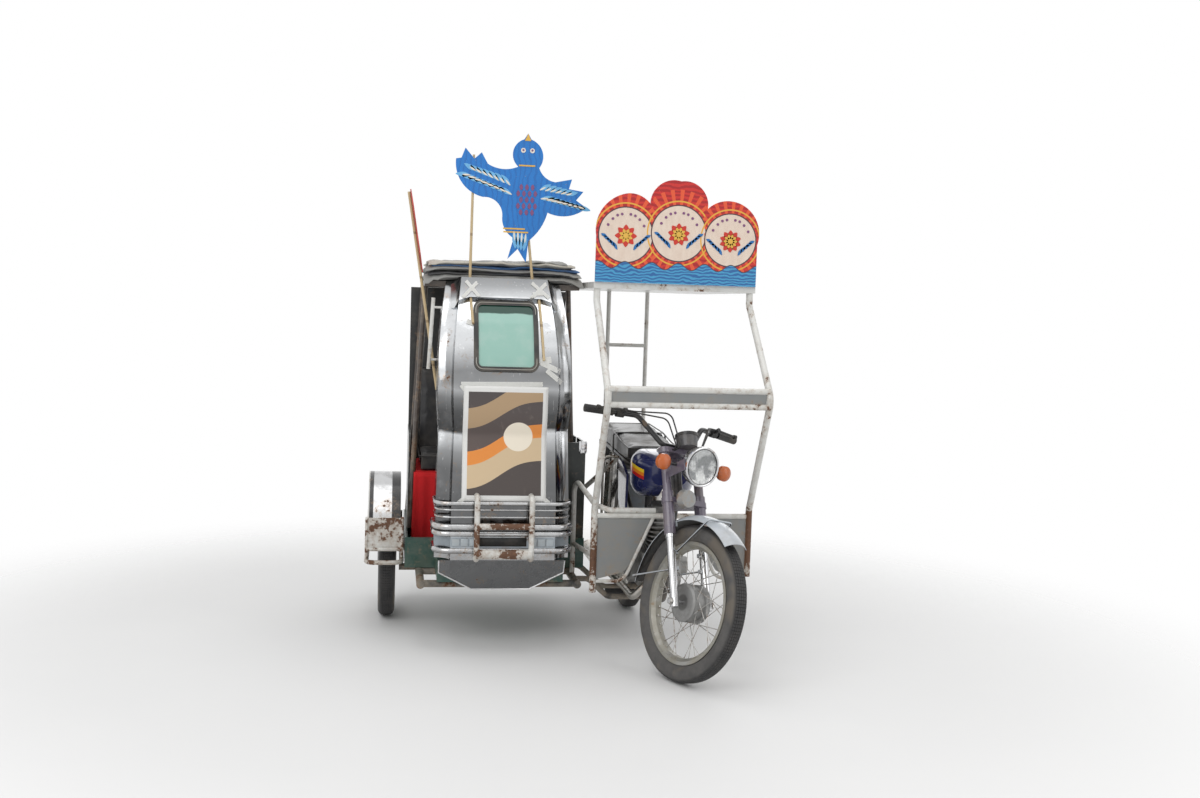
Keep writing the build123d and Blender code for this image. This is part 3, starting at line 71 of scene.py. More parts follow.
lean = sin(RAKE) * sin(PARKED)
axle_height = TYRE_RADIUS * sqrt(1 - lean**2) + 17 * lean
head_foot = at(0, FORK_OFFSET * cos(RAKE), axle_height - FORK_OFFSET * sin(RAKE) * cos(PARKED))
head_x = Vector((cos(PARKED), sin(PARKED) * cos(RAKE), -sin(PARKED) * sin(RAKE)))
head_z = Vector((0, sin(RAKE), cos(RAKE)))
head_y = head_z.cross(head_x)
HEAD = stand(head_foot, head_x, head_y, head_z)
LEVEL = Matrix.Translation(HOME)
UNMOVED = Matrix.Identity(4)
wheel_centres = {
    "front": HEAD @ Vector((0, -FORK_OFFSET / 1000, 0)),
    "rear": at(0, WHEELBASE, TYRE_RADIUS),
    "side": at(-1138, 1130, TYRE_RADIUS),
}
wheel_axes = {"front": head_x, "rear": Vector((1, 0, 0)), "side": Vector((1, 0, 0))}


# Materials
RUST_DARK = (0.045, 0.024, 0.015)
RUST_BRIGHT = (0.20, 0.085, 0.036)
STAIN = (0.33, 0.22, 0.13)
DUST = (0.30, 0.26, 0.21)
WHITE = (0.74, 0.735, 0.70)
GUARD_BLUE = (0.50, 0.54, 0.58)
BLACK = (0.02, 0.02, 0.021)


def reckoner(operation, swapped=False):
    """A method that works out one operation between a value and another or a plain number."""
    def reckon(self, other):
        first, second = (other, self) if swapped else (self, other)
        return self.shader.node("ShaderNodeMath", {"operation": operation}, {0: first, 1: second})
    return reckon


class Value:
    """A number socket of a material that takes part in plain arithmetic."""

    def __init__(self, shader, socket):
        self.shader = shader
        self.socket = socket

    def within(self, low, high):
        return (self > low) * (self < high)

    __add__ = __radd__ = reckoner("ADD")
    __sub__ = reckoner("SUBTRACT")
    __rsub__ = reckoner("SUBTRACT", True)
    __mul__ = __rmul__ = reckoner("MULTIPLY")
    __gt__ = reckoner("GREATER_THAN")
    __lt__ = reckoner("LESS_THAN")


class Shader:
    """One material and the nodes that make it, drawn in the object's own coordinates."""

    def __init__(self, name):
        self.material = bpy.data.materials.new(name)
        self.material.use_nodes = True
        self.tree = self.material.node_tree
        self.surface = self.tree.nodes["Principled BSDF"]
        self.place = self.coordinates("Object")

    def feed(self, socket, value):
        if isinstance(value, Value):
            self.tree.links.new(value.socket, socket)
        elif socket.type == "RGBA":
            socket.default_value = (*value, 1)
        else:
            socket.default_value = value

    def node(self, kind, settings, sockets, out=0):
        made = self.tree.nodes.new(kind)
        for setting, value in settings.items():
            if setting == "stops":
                for position, _ in value[1:-1]:
                    made.color_ramp.elements.new(position)
                for element, (position, grey) in zip(made.color_ramp.elements, value):
                    element.position = position
                    element.color = (grey * 0.98, grey, grey * 1.02, 1)
            else:
                setattr(made, setting, value)
        for socket, value in sockets.items():
            self.feed(made.inputs[socket], value)
        return Value(self, made.outputs[out])

    def coordinates(self, kind):
        return self.node("ShaderNodeTexCoord", {}, {}, kind)

    def part(self, axis, place=None):
        return self.node("ShaderNodeSeparateXYZ", {}, {0: place or self.place}, axis)

    def noise(self, scale, detail=5, rough=0.55, place=None):
        sockets = {"Vector": place or self.place, "Scale": scale, "Detail": detail, "Roughness": rough}
        return self.node("ShaderNodeTexNoise", {}, sockets)

    def streaks(self, stretch, detail, rough=0.55, turn=(0, 0, 0)):
        """Noise drawn out along the axes that have the smaller factors."""
        sockets = {"Vector": self.place, "Scale": stretch, "Rotation": turn}
        return self.noise(1, detail, rough, self.node("ShaderNodeMapping", {}, sockets))

    def patches(self, low, high, *noise):
        """Soft-edged patches where the noise rises from one level to the other."""
        return self.smooth(self.noise(*noise), low, high)

    def wave(self, kind, scale, distortion, detail):
        sockets = {"Vector": self.place, "Scale": scale, "Distortion": distortion, "Detail": detail}
        return self.node("ShaderNodeTexWave", {"wave_type": kind}, sockets)

    def sine(self, value):
        return self.node("ShaderNodeMath", {"operation": "SINE"}, {0: value})

    def radius(self, across, up):
        return self.node("ShaderNodeMath", {"operation": "SQRT"}, {0: across * across + up * up})

    def vector(self, operation, first, second=(0, 0, 0), out=0):
        return self.node("ShaderNodeVectorMath", {"operation": operation}, {0: first, 1: second}, out)

    def smooth(self, value, low, high):
        settings = {"interpolation_type": "SMOOTHSTEP"}
        return self.node("ShaderNodeMapRange", settings, {"Value": value, "From Min": low, "From Max": high})

    def mix(self, factor, first, second):
        return self.node("ShaderNodeMix", {"data_type": "RGBA"}, {0: factor, 6: first, 7: second}, 2)

    def greys(self, value, stops):
        return self.node("ShaderNodeValToRGB", {"stops": stops}, {0: value})

    def distance_from(self, centre, axis):
        """How far a point lies from a line, in metres."""
        arm = self.vector("SUBTRACT", self.place, centre)
        return self.vector("LENGTH", self.vector("CROSS_PRODUCT", arm, axis), out=1)

    def inward(self, centre, axis):
        """1 on faces that look towards a line, 0 on the others."""
        arm = self.vector("SUBTRACT", self.place, centre)
        spoke = self.vector("SUBTRACT", arm, self.vector("PROJECT", arm, axis))
        facing = self.vector("DOT_PRODUCT", self.vector("NORMALIZE", spoke), self.coordinates("Normal"), 1)
        return self.smooth(facing, -0.25, -0.45)

    def bare_back(self, base):
        """Plain plywood on the faces that look backwards, the given colour on the others."""
        wood = self.mix(self.streaks((30, 30, 4), 4), (0.34, 0.24, 0.14), (0.52, 0.40, 0.26))
        return self.mix(self.part(1, self.coordinates("Normal")) > 0.5, base, wood)

    def done(self, colour, rough, height=None, distance=0.001, strength=1.0, **sockets):
        """Feeds the surface its colour, roughness, a bump where there is one, and other sockets by name."""
        sockets.update(Base_Color=colour, Roughness=rough)
        if height is not None:
            lumps = {"Strength": strength, "Distance": distance, "Height": height}
            sockets["Normal"] = self.node("ShaderNodeBump", {}, lumps)
        for socket, value in sockets.items():
            self.feed(self.surface.inputs[socket.replace("_", " ")], value)
        return self.material


def plated(height):
    """How metallic a plated face is: hardly where the rust has eaten it."""
    return 1 - height.shader.smooth(height + 0.12, 0.1, 0.0) * 0.85


def tint(colour, factor):
    return tuple(min(1, channel * factor) for channel in colour)


def rusted(s, base, rough, rust, size=1.0):
    """Rust patches with a stained edge over a base colour: the colour, the roughness and the height."""
    patches = s.noise(7 * size, 3) * 0.5 + s.noise(42 * size, 7, 0.68) * 0.5
    edge = 0.665 - 0.2 * rust
    eaten = s.smooth(patches, edge, edge + 0.025)
    stain = s.smooth(patches, edge - 0.09, edge + 0.01)
    rust_colour = s.mix(s.noise(120 * size, 4), RUST_DARK, RUST_BRIGHT)
    colour = s.mix(eaten, s.mix(stain * 0.4, base, STAIN), rust_colour)
    return colour, rough + eaten * 0.42, s.noise(150 * size, 5) * eaten * 0.7 - eaten * 0.3


def enamel(s, colour, rust, rough, grime, coat=0.25, wheel=None, feet=0):
    """Paint on metal, dusty low down and rusting in patches, and darkened inside where it covers a wheel with
    mottled painted shade.
    """
    base = s.mix(s.noise(4, 3), tint(colour, 0.86), tint(colour, 1.08))
    low = s.smooth(s.part(2), 0.9, 0.1)
    dirt = s.smooth(s.noise(13, 7, 0.65) + low * 0.16, 0.46, 0.78) * grime
    base = s.mix(dirt, base, DUST)
    if feet:
        across = s.part(0) - at(CANOPY_X, 0, 0).x
        rust = rust + s.smooth(s.part(2), 0.64, 0.52) * ((across > 0.312) + (across < -0.312)) * feet
    base, gloss, height = rusted(s, base, rough + dirt * 0.35, rust)
    if wheel:
        inside = s.inward(wheel_centres[wheel], wheel_axes[wheel])
        # Painted shade: mottled near-black on the faces that look towards the wheel
        painted_shade = s.mix(s.patches(0.4, 0.7, 26, 6), (0.012, 0.011, 0.010), (0.045, 0.036, 0.028))
        base = s.mix(inside, base, painted_shade)
        gloss = gloss + inside * 0.5
    height = height * 0.6 + s.streaks((90, 90, 14), 3) * 0.16
    return s.done(base, gloss, height, 0.0011, 0.7, Coat_Weight=coat)


def bright_metal(s, colour, rough, pits, dents=0.5, smear=0.3, grain=(240, 240, 6)):
    """Polished or plated metal: fine grain, shallow dents, finger marks, and pits where the plating fails."""
    streaks = s.streaks(grain, 4)
    marks = s.patches(0.42, 0.74, 17, 6, 0.6)
    base = s.mix(marks * smear, colour, tint(colour, 0.62))
    base = s.mix(s.patches(0.35, 0.75, 2.6, 2) * 0.35, base, tint(colour, 0.72))
    base, gloss, height = rusted(s, base, rough + marks * 0.13 + streaks * 0.07, pits, 2.2)
    waves = s.noise(5.5, 2) * dents + streaks * 0.008
    return s.done(base, gloss, waves * 2 + height * 0.05, 0.01, 0.5, Metallic=plated(height))


# Painted reflections of the hood and nose, as greys from the road up. Columns: height in metres, grey
lower_reflection_greys = (
    (0.36, 0.17), (0.62, 0.13), (0.74, 0.16), (0.82, 0.30), (0.875, 0.60), (0.90, 0.68), (0.913, 0.075),
    (1.0, 0.10),
)
# The same painted reflections above 0.9 m, counted from there
upper_reflection_greys = (
    (0.0, 0.075), (0.10, 0.10), (0.15, 0.20), (0.185, 0.42), (0.21, 0.30), (0.26, 0.25), (0.31, 0.48),
    (0.36, 0.74), (0.53, 0.80), (0.555, 0.36), (0.60, 0.22), (0.66, 0.15),
)


def front_steel(s):
    """Polished steel of the hood and nose, with painted reflections in level bands: brighter high up, darker
    below the window.
    """
    height = s.part(2) + s.streaks((2.2, 2.2, 3), 3) * 0.10 - 0.05
    # Painted reflections: level bands of grey by height, bright and dark in turn
    base = s.mix(height > 0.94, s.greys(height, lower_reflection_greys), s.greys(height - 0.9, upper_reflection_greys))
    marks = s.patches(0.42, 0.74, 17, 6, 0.6)
    scratch = s.smooth(s.streaks((160, 160, 5), 3, turn=(0, 0.5, 0)), 0.66, 0.72)
    base = s.mix(scratch * 0.35, s.mix(marks * 0.25, base, (0.24, 0.24, 0.245)), (0.75, 0.75, 0.74))
    base, gloss, bumps = rusted(s, base, 0.13 + marks * 0.14 + scratch * 0.1, 0.12, 2.2)
    waves = s.noise(5.5, 2) * 0.6 + s.noise(19, 2) * 0.07
    return s.done(base, gloss, waves * 2 + bumps * 0.05, 0.01, 0.5, Metallic=plated(bumps))


def trim_steel(s):
    """Steel ribs, with pale painted lamp boxes between two of them."""
    z = s.part(2)
    box = z.within(0.4365, 0.4805)
    marks = s.patches(0.42, 0.74, 23, 6, 0.6)
    base = s.mix(marks * 0.5, (0.52, 0.525, 0.53), (0.22, 0.215, 0.21))
    base = s.mix(box, base, s.mix(marks * 0.6, (0.40, 0.45, 0.49), (0.24, 0.26, 0.28)))
    base = s.mix(s.smooth(z, 0.428, 0.42) * 0.5, base, (0.22, 0.22, 0.225))
    base, gloss, height = rusted(s, base, 0.16 + marks * 0.2 + box * 0.2, 0.25, 2.2)
    return s.done(base, gloss, s.noise(26, 3) + height * 0.3, 0.002, 0.6, Metallic=1 - box * 0.9)


def guard_steel(s):
    """Guard over the side wheel: polished along its crown, painted black at its sides, with painted shade
    inside.
    """
    across = (s.part(0) - wheel_centres["side"].x) * 1000 + 15
    crown = s.smooth(across, 34, 30) * s.smooth(across, -50, -46)
    marks = s.patches(0.4, 0.74, 15, 6, 0.6)
    base = s.mix(crown, BLACK, s.mix(marks * 0.6, (0.60, 0.605, 0.61), (0.26, 0.26, 0.26)))
    base = s.mix(s.smooth(across, -64, -66), base, WHITE)
    inside = s.inward(wheel_centres["side"], wheel_axes["side"])
    # Painted shade: near-black on the faces that look towards the wheel
    base = s.mix(inside, base, (0.03, 0.026, 0.022))
    base, gloss, height = rusted(s, base, 0.16 + marks * 0.2 + inside * 0.5, 0.22)
    metal = crown * 0.95 * (1 - inside)
    return s.done(base, gloss, s.noise(9, 3) * 0.8 + height * 0.3, 0.002, 0.6, Metallic=metal)


def lamp_mirror(s):
    """The lamp's reflector: dark and bright patches painted in as reflections, with stepped prisms."""
    # Painted reflections: near-black and bright patches in the base colour
    base = s.mix(s.patches(0.4, 0.62, 22, 2, 0.4), (0.16, 0.16, 0.165), (0.86, 0.86, 0.85))
    return s.done(base, 0.1, s.sine(s.part(0) * 900) + s.noise(40, 2) * 2, 0.0012, 0.6, Metallic=0.95)


def fluted_glass(s):
    """The lamp's clear glass with upright flutes."""
    s.place = s.coordinates("UV")
    flutes = s.sine(s.part(0) * 520)
    return s.done((0.86, 0.9, 0.9), 0.08, flutes, 0.0016, 0.9, Alpha=0.16, Coat_Weight=0.4)


def rubber(s, centre, axis):
    """Tyre rubber, dusty brown on the walls and polished dark on the tread."""
    far = s.distance_from(centre, axis)
    wall = s.smooth(far, 0.297, 0.286)
    dust = s.patches(0.34, 0.72, 22, 7, 0.65)
    base = s.mix(dust, (0.024, 0.024, 0.025), (0.055, 0.052, 0.05))
    base = s.mix(wall * (0.45 + dust * 0.35), base, (0.125, 0.12, 0.115))
    base = s.mix(wall * s.patches(0.52, 0.62, 5, 3) * 0.65, base, (0.155, 0.13, 0.10))
    height = (s.sine(far * 1500) * 0.14 + s.sine(far * 4200) * 0.05) * wall + s.noise(260, 4) * 0.4
    return s.done(base, 0.56 + dust * 0.25, height, 0.0009, 0.7)


def rim_metal(s, centre, axis):
    """Plated rim under yellow-grey dust, speckled dark, with cleaner edges."""
    dust = s.patches(0.3, 0.62, 16, 6, 0.6)
    specks = s.patches(0.66, 0.72, 190, 3, 0.5)
    base = s.mix(dust, (0.36, 0.355, 0.335), (0.30, 0.285, 0.24))
    base = s.mix(specks, base, (0.10, 0.075, 0.05))
    base = s.mix(s.patches(0.60, 0.70, 34, 6, 0.7) * 0.75, base, (0.26, 0.17, 0.09))
    edge = s.smooth(s.distance_from(centre, axis), 0.2315, 0.2335)
    metal = 0.75 - dust * 0.4 - specks * 0.3 + edge * 0.2
    rough = 0.3 + dust * 0.22 + specks * 0.3
    return s.done(base, rough, s.noise(60, 4) - specks * 0.6, 0.0008, 0.5, Metallic=metal)


def hub_metal(s, centre, axis):
    """Dull cast hub inside, tarnished spokes outside, told apart by the distance from the axle."""
    far = s.distance_from(centre, axis)
    dirt = s.patches(0.38, 0.7, 28, 6, 0.65)
    hub = s.mix(dirt * 0.35, (0.30, 0.30, 0.295), (0.12, 0.11, 0.10))
    hub = s.mix(s.smooth(far, 0.036, 0.026) * 0.7, hub, (0.10, 0.098, 0.095))
    steel = s.mix(s.patches(0.5, 0.68, 60, 5), (0.42, 0.41, 0.39), (0.16, 0.085, 0.045))
    base = s.mix(s.smooth(far, 0.078, 0.081), hub, steel)
    height = s.sine(far * 1100) * 0.15 + s.noise(90, 5)
    return s.done(base, 0.42 + dirt * 0.2, height, 0.0008, 0.5, Metallic=0.7 - dirt * 0.2)


def vinyl(s, colour, rough, dusty=0.4):
    """Seat vinyl with a pebbled grain, greyed by dust."""
    cells = s.node("ShaderNodeTexVoronoi", {}, {"Vector": s.place, "Scale": 420})
    worn = s.patches(0.4, 0.75, 9, 6, 0.6)
    base = s.mix(worn * dusty, colour, tint(DUST, 0.6))
    creases = s.smooth(s.streaks((6, 26, 26), 4), 0.5, 0.62)
    return s.done(base, rough + worn * 0.25, cells * 0.5 + creases * 0.5, 0.0008, 0.6)


def cloth(s, colour, other, weave=500, rough=0.85, blotch=0.5):
    """Plain woven cloth with soft stains along the folds."""
    warp = s.sine((s.part(0) + s.part(1)) * weave * 2)
    weft = s.sine(s.part(2) * weave * 2)
    base = s.mix(s.patches(0.4, 0.72, 6, 6, 0.62) * blotch, colour, other)
    base = s.mix(s.noise(300, 3) * 0.3, base, tint(colour, 0.6))
    return s.done(base, rough, warp * 0.06 + weft * 0.06 + s.streaks((16, 16, 5), 5) * 0.9, 0.003, 0.6)


def plastic(s, colour, rough, ribs=0, dusty=0.25):
    """Moulded plastic or a coloured lens, ribbed where it is a lens."""
    haze = s.patches(0.4, 0.75, 30, 6) * dusty
    height = s.noise(500, 2) * 0.2
    if ribs:
        height = height + s.sine(s.part(2) * ribs) * 0.5
    base = s.mix(haze, colour, DUST)
    return s.done(base, rough + haze * 0.8, height, 0.0008, 0.6, Coat_Weight=0.4)


def indicator_plastic(s):
    """Amber lenses on black stalks, told apart by the distance from the head's middle plane."""
    across = s.vector("DOT_PRODUCT", s.vector("SUBTRACT", s.place, head_foot), head_x, 1)
    stalk = across.within(-0.1205, 0.1205)
    haze = s.patches(0.4, 0.75, 30, 6)
    base = s.mix(stalk, s.mix(haze * 0.06, (0.56, 0.115, 0.008), DUST), BLACK)
    rings = s.sine(s.part(2) * 1400) * 0.5 * (1 - stalk)
    return s.done(base, 0.16 + haze * 0.1, rings, 0.0008, 0.6, Coat_Weight=0.5)


def board_paint(s, colour, other=None, swirl=0.0):
    """Hand-painted board colour with brush marks and small chips to the wood."""
    strokes = s.streaks((60, 60, 16), 5, 0.6)
    base = s.mix(strokes, tint(colour, 0.82), tint(colour, 1.12))
    if other:
        base = s.mix(s.smooth(s.wave("BANDS", 14, 6, 2), 0.72, 0.8) * swirl, base, other)
    chips = s.patches(0.67, 0.69, 60, 7, 0.7)
    base = s.bare_back(s.mix(chips, base, (0.45, 0.33, 0.2)))
    return s.done(base, 0.42 + chips * 0.3, strokes * 0.5 - chips, 0.0006, 0.7)


def bamboo_skin(s):
    """Split bamboo, pale, with darker nodes and long fibres."""
    fibres = s.streaks((600, 600, 12), 4)
    joints = s.smooth(s.sine(s.part(2) * 34), 0.97, 0.995)
    base = s.mix(joints * 0.7, s.mix(fibres, (0.42, 0.30, 0.15), (0.70, 0.56, 0.34)), (0.22, 0.14, 0.07))
    return s.done(base, 0.5, fibres * 0.5 + joints, 0.001, 0.7)


def window_pane(s):
    """Pale tinted pane with a dark green sun band along its top, slightly dusty."""
    band = s.smooth(s.part(2) + s.noise(16, 3) * 0.012, 1.386, 1.392)
    dust = s.patches(0.4, 0.75, 15, 6)
    base = s.mix(band, s.mix(dust * 0.4, (0.34, 0.58, 0.50), (0.50, 0.66, 0.60)), (0.004, 0.05, 0.032))
    return s.done(base, 0.06 + dust * 0.12, Alpha=0.90 + band * 0.08)


# Fans of the painted board. Columns: middle x, middle height, radius of the cream disc
board_fans = ((-196, 1722, 112), (26, 1736, 114), (246, 1716, 108))


def board_picture(s):
    """The painted board: red rays over three cream discs, blue waves below."""
    x = (s.part(0) - HOME.x) * 1000
    z = s.part(2) * 1000
    strokes = s.streaks((50, 50, 18), 5, 0.6)
    base = s.mix(s.smooth(s.wave("RINGS", 16, 5, 2), 0.4, 0.6), (0.62, 0.025, 0.02), (0.40, 0.01, 0.012))
    cream = s.mix(strokes, (0.90, 0.78, 0.66), (0.70, 0.54, 0.44))
    for middle_x, middle_z, radius in board_fans:
        along, rise = x - middle_x, z - middle_z
        ray = s.sine(s.node("ShaderNodeMath", {"operation": "ARCTAN2"}, {0: rise, 1: along}) * 26)
        far = s.radius(along, rise)
        near = along.within(-112, 110) * (far < radius + 66)
        base = s.mix(s.smooth(ray, 0.2, 0.4) * near, base, (0.80, 0.10, 0.03))
        ring = s.smooth(far, radius + 22, radius + 20) * s.smooth(far, radius + 14, radius + 16)
        base = s.mix(ring, base, (0.80, 0.42, 0.05))
        base = s.mix(s.smooth(far, radius + 5, radius + 3), base, (0.05, 0.02, 0.03))
        base = s.mix(s.smooth(far, radius, radius - 2), base, cream)
    crest = 1598 + s.sine(x * 0.056) * 14 - z
    blue = s.mix(s.smooth(s.wave("RINGS", 24, 7, 1), 0.45, 0.6), (0.02, 0.13, 0.36), (0.06, 0.34, 0.60))
    base = s.mix(s.smooth(crest, -4, -2), base, (0.04, 0.03, 0.05))
    base = s.mix(s.smooth(crest, 0, 2), base, blue)
    base = s.bare_back(s.mix(s.patches(0.68, 0.70, 60, 7, 0.7), base, (0.5, 0.4, 0.3)))
    return s.done(base, 0.4, strokes, 0.0008, 0.6, Coat_Weight=0.2)


def print_sheet(s):
    """A plain printed sheet: a pale border round slanting colour fields and a low disc, with no lettering."""
    s.place = s.coordinates("UV")
    u = s.part(0)
    v = s.part(1)
    base = s.mix(s.noise(30, 4) * 0.3, (0.80, 0.80, 0.78), (0.66, 0.65, 0.62))
    field = s.mix(v, (0.13, 0.085, 0.07), (0.055, 0.045, 0.045))
    slope = v - u * 0.28 + s.sine(u * 7) * 0.03
    for low, high, colour in (
        (0.62, 0.80, (0.44, 0.30, 0.17)), (0.30, 0.42, (0.80, 0.27, 0.04)), (0.10, 0.30, (0.66, 0.50, 0.31)),
        (-0.30, 0.10, (0.06, 0.045, 0.04)),
    ):
        field = s.mix(slope.within(low, high), field, colour)
    far = s.radius(u - 0.66, (v - 0.56) * 1.36)
    field = s.mix(s.smooth(far, 0.175, 0.170), field, (0.90, 0.82, 0.68))
    field = s.mix(s.patches(0.6, 0.75, 7, 5) * 0.1, field, (0.62, 0.55, 0.45))
    base = s.mix(u.within(0.06, 0.94) * v.within(0.05, 0.95), base, field)
    return s.done(base, 0.38, s.noise(5, 3), 0.004, 0.35, Coat_Weight=0.3)


def tank_enamel(s):
    """Dark blue tank with three swept stripes along its sides."""
    y = (s.part(1) - HOME.y) * 1000
    sweep = s.part(2) * 1000 - 770 - (y - 540) * 0.16
    base = s.mix(s.noise(4, 3), (0.012, 0.016, 0.07), (0.02, 0.028, 0.12))
    for low, high, colour in (
        (-6, 8, (0.85, 0.58, 0.03)), (-20, -6, (0.80, 0.22, 0.02)), (-34, -20, (0.55, 0.02, 0.02)),
    ):
        base = s.mix(sweep.within(low, high) * y.within(430, 668), base, colour)
    base, gloss, height = rusted(s, base, 0.18, 0.05)
    return s.done(base, gloss, height, 0.0006, 0.6, Coat_Weight=0.7)


def floor_pale(s):
    """Pale floor that fades out far from the wheels."""
    spread = s.distance_from(at(-500, 700, 0), Vector((0, 0, 1)))
    base = s.mix(s.noise(1.5, 4), (0.82, 0.82, 0.82), (0.85, 0.85, 0.845))
    return s.done(base, 0.7, Alpha=s.smooth(spread, 3.4, 1.7))


finish = {}
for make, looks in (
    # Columns: name, colour, rust, roughness, grime, coat, wheel that it covers, rust of its feet
    (enamel, (
        ("white_tube", WHITE, 0.5, 0.3, 0.45),
        ("chipped_tube", WHITE, 0.72, 0.3, 0.5),
        ("canopy_tube", WHITE, 0.42, 0.3, 0.45, 0.25, None, 0.75),
        ("white_slab", (0.70, 0.70, 0.67), 0.3, 0.3, 0.55),
        ("grey_sheet", (0.235, 0.245, 0.245), 0.22, 0.4, 0.4),
        ("green_body", (0.004, 0.060, 0.043), 0.12, 0.3, 0.2, 0.15),
        ("black_frame", (0.022, 0.022, 0.024), 0.18, 0.4, 0.4),
        ("chassis_black", (0.03, 0.032, 0.03), 0.55, 0.5, 0.8),
        ("shroud_paint", (0.125, 0.105, 0.145), 0.1, 0.26, 0.4, 0.5),
        ("front_guard", GUARD_BLUE, 0.06, 0.28, 0.3, 0.5, "front"),
        ("rear_guard", GUARD_BLUE, 0.06, 0.28, 0.4, 0.5, "rear"),
        ("panel_black", (0.010, 0.017, 0.015), 0.05, 0.3, 0.15, 0.2),
        # Near-black painted shade for the cabin's back panel and the box behind the slot
        ("inner_black", (0.02, 0.021, 0.021), 0.02, 0.5, 0.18),
        ("bar_black", (0.016, 0.016, 0.017), 0.08, 0.3, 0.3),
        ("brown_post", (0.07, 0.055, 0.045), 0.35, 0.4, 0.6),
        ("navy_cover", (0.015, 0.02, 0.09), 0.03, 0.22, 0.16, 0.6),
        ("horn_grey", (0.30, 0.31, 0.31), 0.3, 0.35, 0.5),
    )),
    # Columns: name, colour, roughness, pits, dents, smears, grain
    (bright_metal, (
        ("slider_chrome", (0.60, 0.60, 0.61), 0.1, 0.02, 0.05, 0.4),
        ("stainless", (0.19, 0.193, 0.197), 0.2, 0.12),
        ("hot_chrome", (0.52, 0.50, 0.46), 0.26, 0.42, 0.2, 0.7),
        ("chrome", (0.66, 0.66, 0.67), 0.08, 0.12, 0.1, 0.25),
        ("dull_chrome", (0.58, 0.57, 0.55), 0.2, 0.4, 0.2, 0.5),
        ("edge_steel", (0.86, 0.86, 0.87), 0.32, 0.05),
        ("cast_alloy", (0.36, 0.355, 0.345), 0.42, 0.1, 0.4, 0.9, (90, 90, 90)),
    )),
    # Columns: name, colour, roughness, dust
    (vinyl, (
        ("cable_black", (0.014, 0.014, 0.015), 0.42, 0.3),
        ("grip_black", (0.02, 0.02, 0.02), 0.5),
        ("seat_black", (0.016, 0.016, 0.018), 0.3),
        ("bench_black", (0.018, 0.018, 0.02), 0.36, 0.28),
        ("gasket_black", (0.02, 0.02, 0.02), 0.45, 0.6),
    )),
    # Columns: name, colour, stain, threads, roughness, blotches
    (cloth, (
        ("red_cloth", (0.72, 0.012, 0.016), (0.48, 0.008, 0.01), 900),
        ("canvas_grey", (0.34, 0.34, 0.325), (0.22, 0.22, 0.21), 500, 0.6),
        ("canvas_cream", (0.52, 0.50, 0.44), (0.40, 0.37, 0.31), 500, 0.7),
        ("canvas_dark", (0.06, 0.065, 0.075), (0.16, 0.15, 0.14)),
        ("canvas_blue", (0.05, 0.14, 0.34), (0.16, 0.20, 0.26)),
        ("masking_tape", (0.76, 0.76, 0.73), (0.56, 0.55, 0.50), 2400, 0.6, 0.4),
    )),
    # Columns: name, colour, roughness, ribs, dust
    (plastic, (
        ("red_lens", (0.50, 0.012, 0.012), 0.16, 1200, 0.2),
        ("lens_smoke", (0.42, 0.47, 0.50), 0.14, 1500),
        ("pod_grey", (0.06, 0.06, 0.065), 0.4),
        ("bead_grey", (0.30, 0.285, 0.25), 0.4),
        ("dial_black", (0.012, 0.012, 0.013), 0.4, 0, 0.1),
        ("mark_cream", (0.78, 0.77, 0.70), 0.5),
    )),
    # Columns: name, colour, other colour, its share
    (board_paint, (
        ("blue_board", (0.02, 0.20, 0.60), (0.015, 0.10, 0.36), 0.4),
        ("red_board", (0.50, 0.05, 0.03), (0.30, 0.02, 0.015), 0.6),
        ("flat_red", (0.62, 0.04, 0.025)),
        ("flat_cream", (0.86, 0.80, 0.70)),
        ("flat_violet", (0.22, 0.08, 0.20)),
        ("flat_gold", (0.80, 0.48, 0.08)),
        ("flat_blue", (0.02, 0.16, 0.44)),
        ("flat_sky", (0.16, 0.46, 0.78)),
    )),
):
    for name, *look in looks:
        finish[name] = make(Shader(name), *look)
for name, make in (
    ("hood_steel", front_steel), ("rib_steel", trim_steel), ("side_guard", guard_steel),
    ("lamp_mirror", lamp_mirror), ("fluted_glass", fluted_glass), ("amber", indicator_plastic),
    ("bamboo", bamboo_skin), ("painted_board", board_picture), ("printed_sheet", print_sheet),
    ("window_glass", window_pane), ("tank_paint", tank_enamel), ("floor_pale", floor_pale),
):
    finish[name] = make(Shader(name))

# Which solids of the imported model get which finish
solids = {
    "slider_chrome": "fork_sliders", "shroud_paint": "fork_crown", "bar_black": "handlebar",
    "grip_black": "hand_controls foot_pegs", "chrome": "headlamp_shell headlamp_lens",
    "pod_grey": "instruments", "amber": "indicators", "horn_grey": "horn", "front_guard": "front_mudguard",
    "black_frame": "moto_frame swing_arm plate_bracket chain_case", "cast_alloy": "engine",
    "tank_paint": "fuel_tank", "seat_black": "rider_seat", "navy_cover": "side_covers",
    "dull_chrome": "rear_shocks", "rear_guard": "rear_mudguard", "chassis_black": "sidecar_chassis",
    "white_tube": "sidecar_struts grab_rail", "green_body": "lower_tub", "hood_steel": "nose hood",
    "gasket_black": "window_gasket", "window_glass": "window_glass", "rib_steel": "nose_trim",
    "stainless": "skirt", "chipped_tube": "bull_bar wheel_rail", "brown_post": "cabin_roof",
    # The back panel is painted black as the shade inside the cabin
    "panel_black": "side_panels", "inner_black": "back_panel", "red_cloth": "seat_base",
    "bench_black": "bench_cushion bench_back", "canvas_grey": "roof_tarp", "side_guard": "side_mudguard",
    "canopy_tube": "canopy_frame", "grey_sheet": "canopy_panels", "white_slab": "canopy_roof",
    "painted_board": "sign_board", "bamboo": "bamboo_sticks", "blue_board": "blue_cutout",
    "red_board": "red_cutout", "red_lens": "tail_lamp", "hot_chrome": "exhaust",
    "cable_black": "control_cables",
}
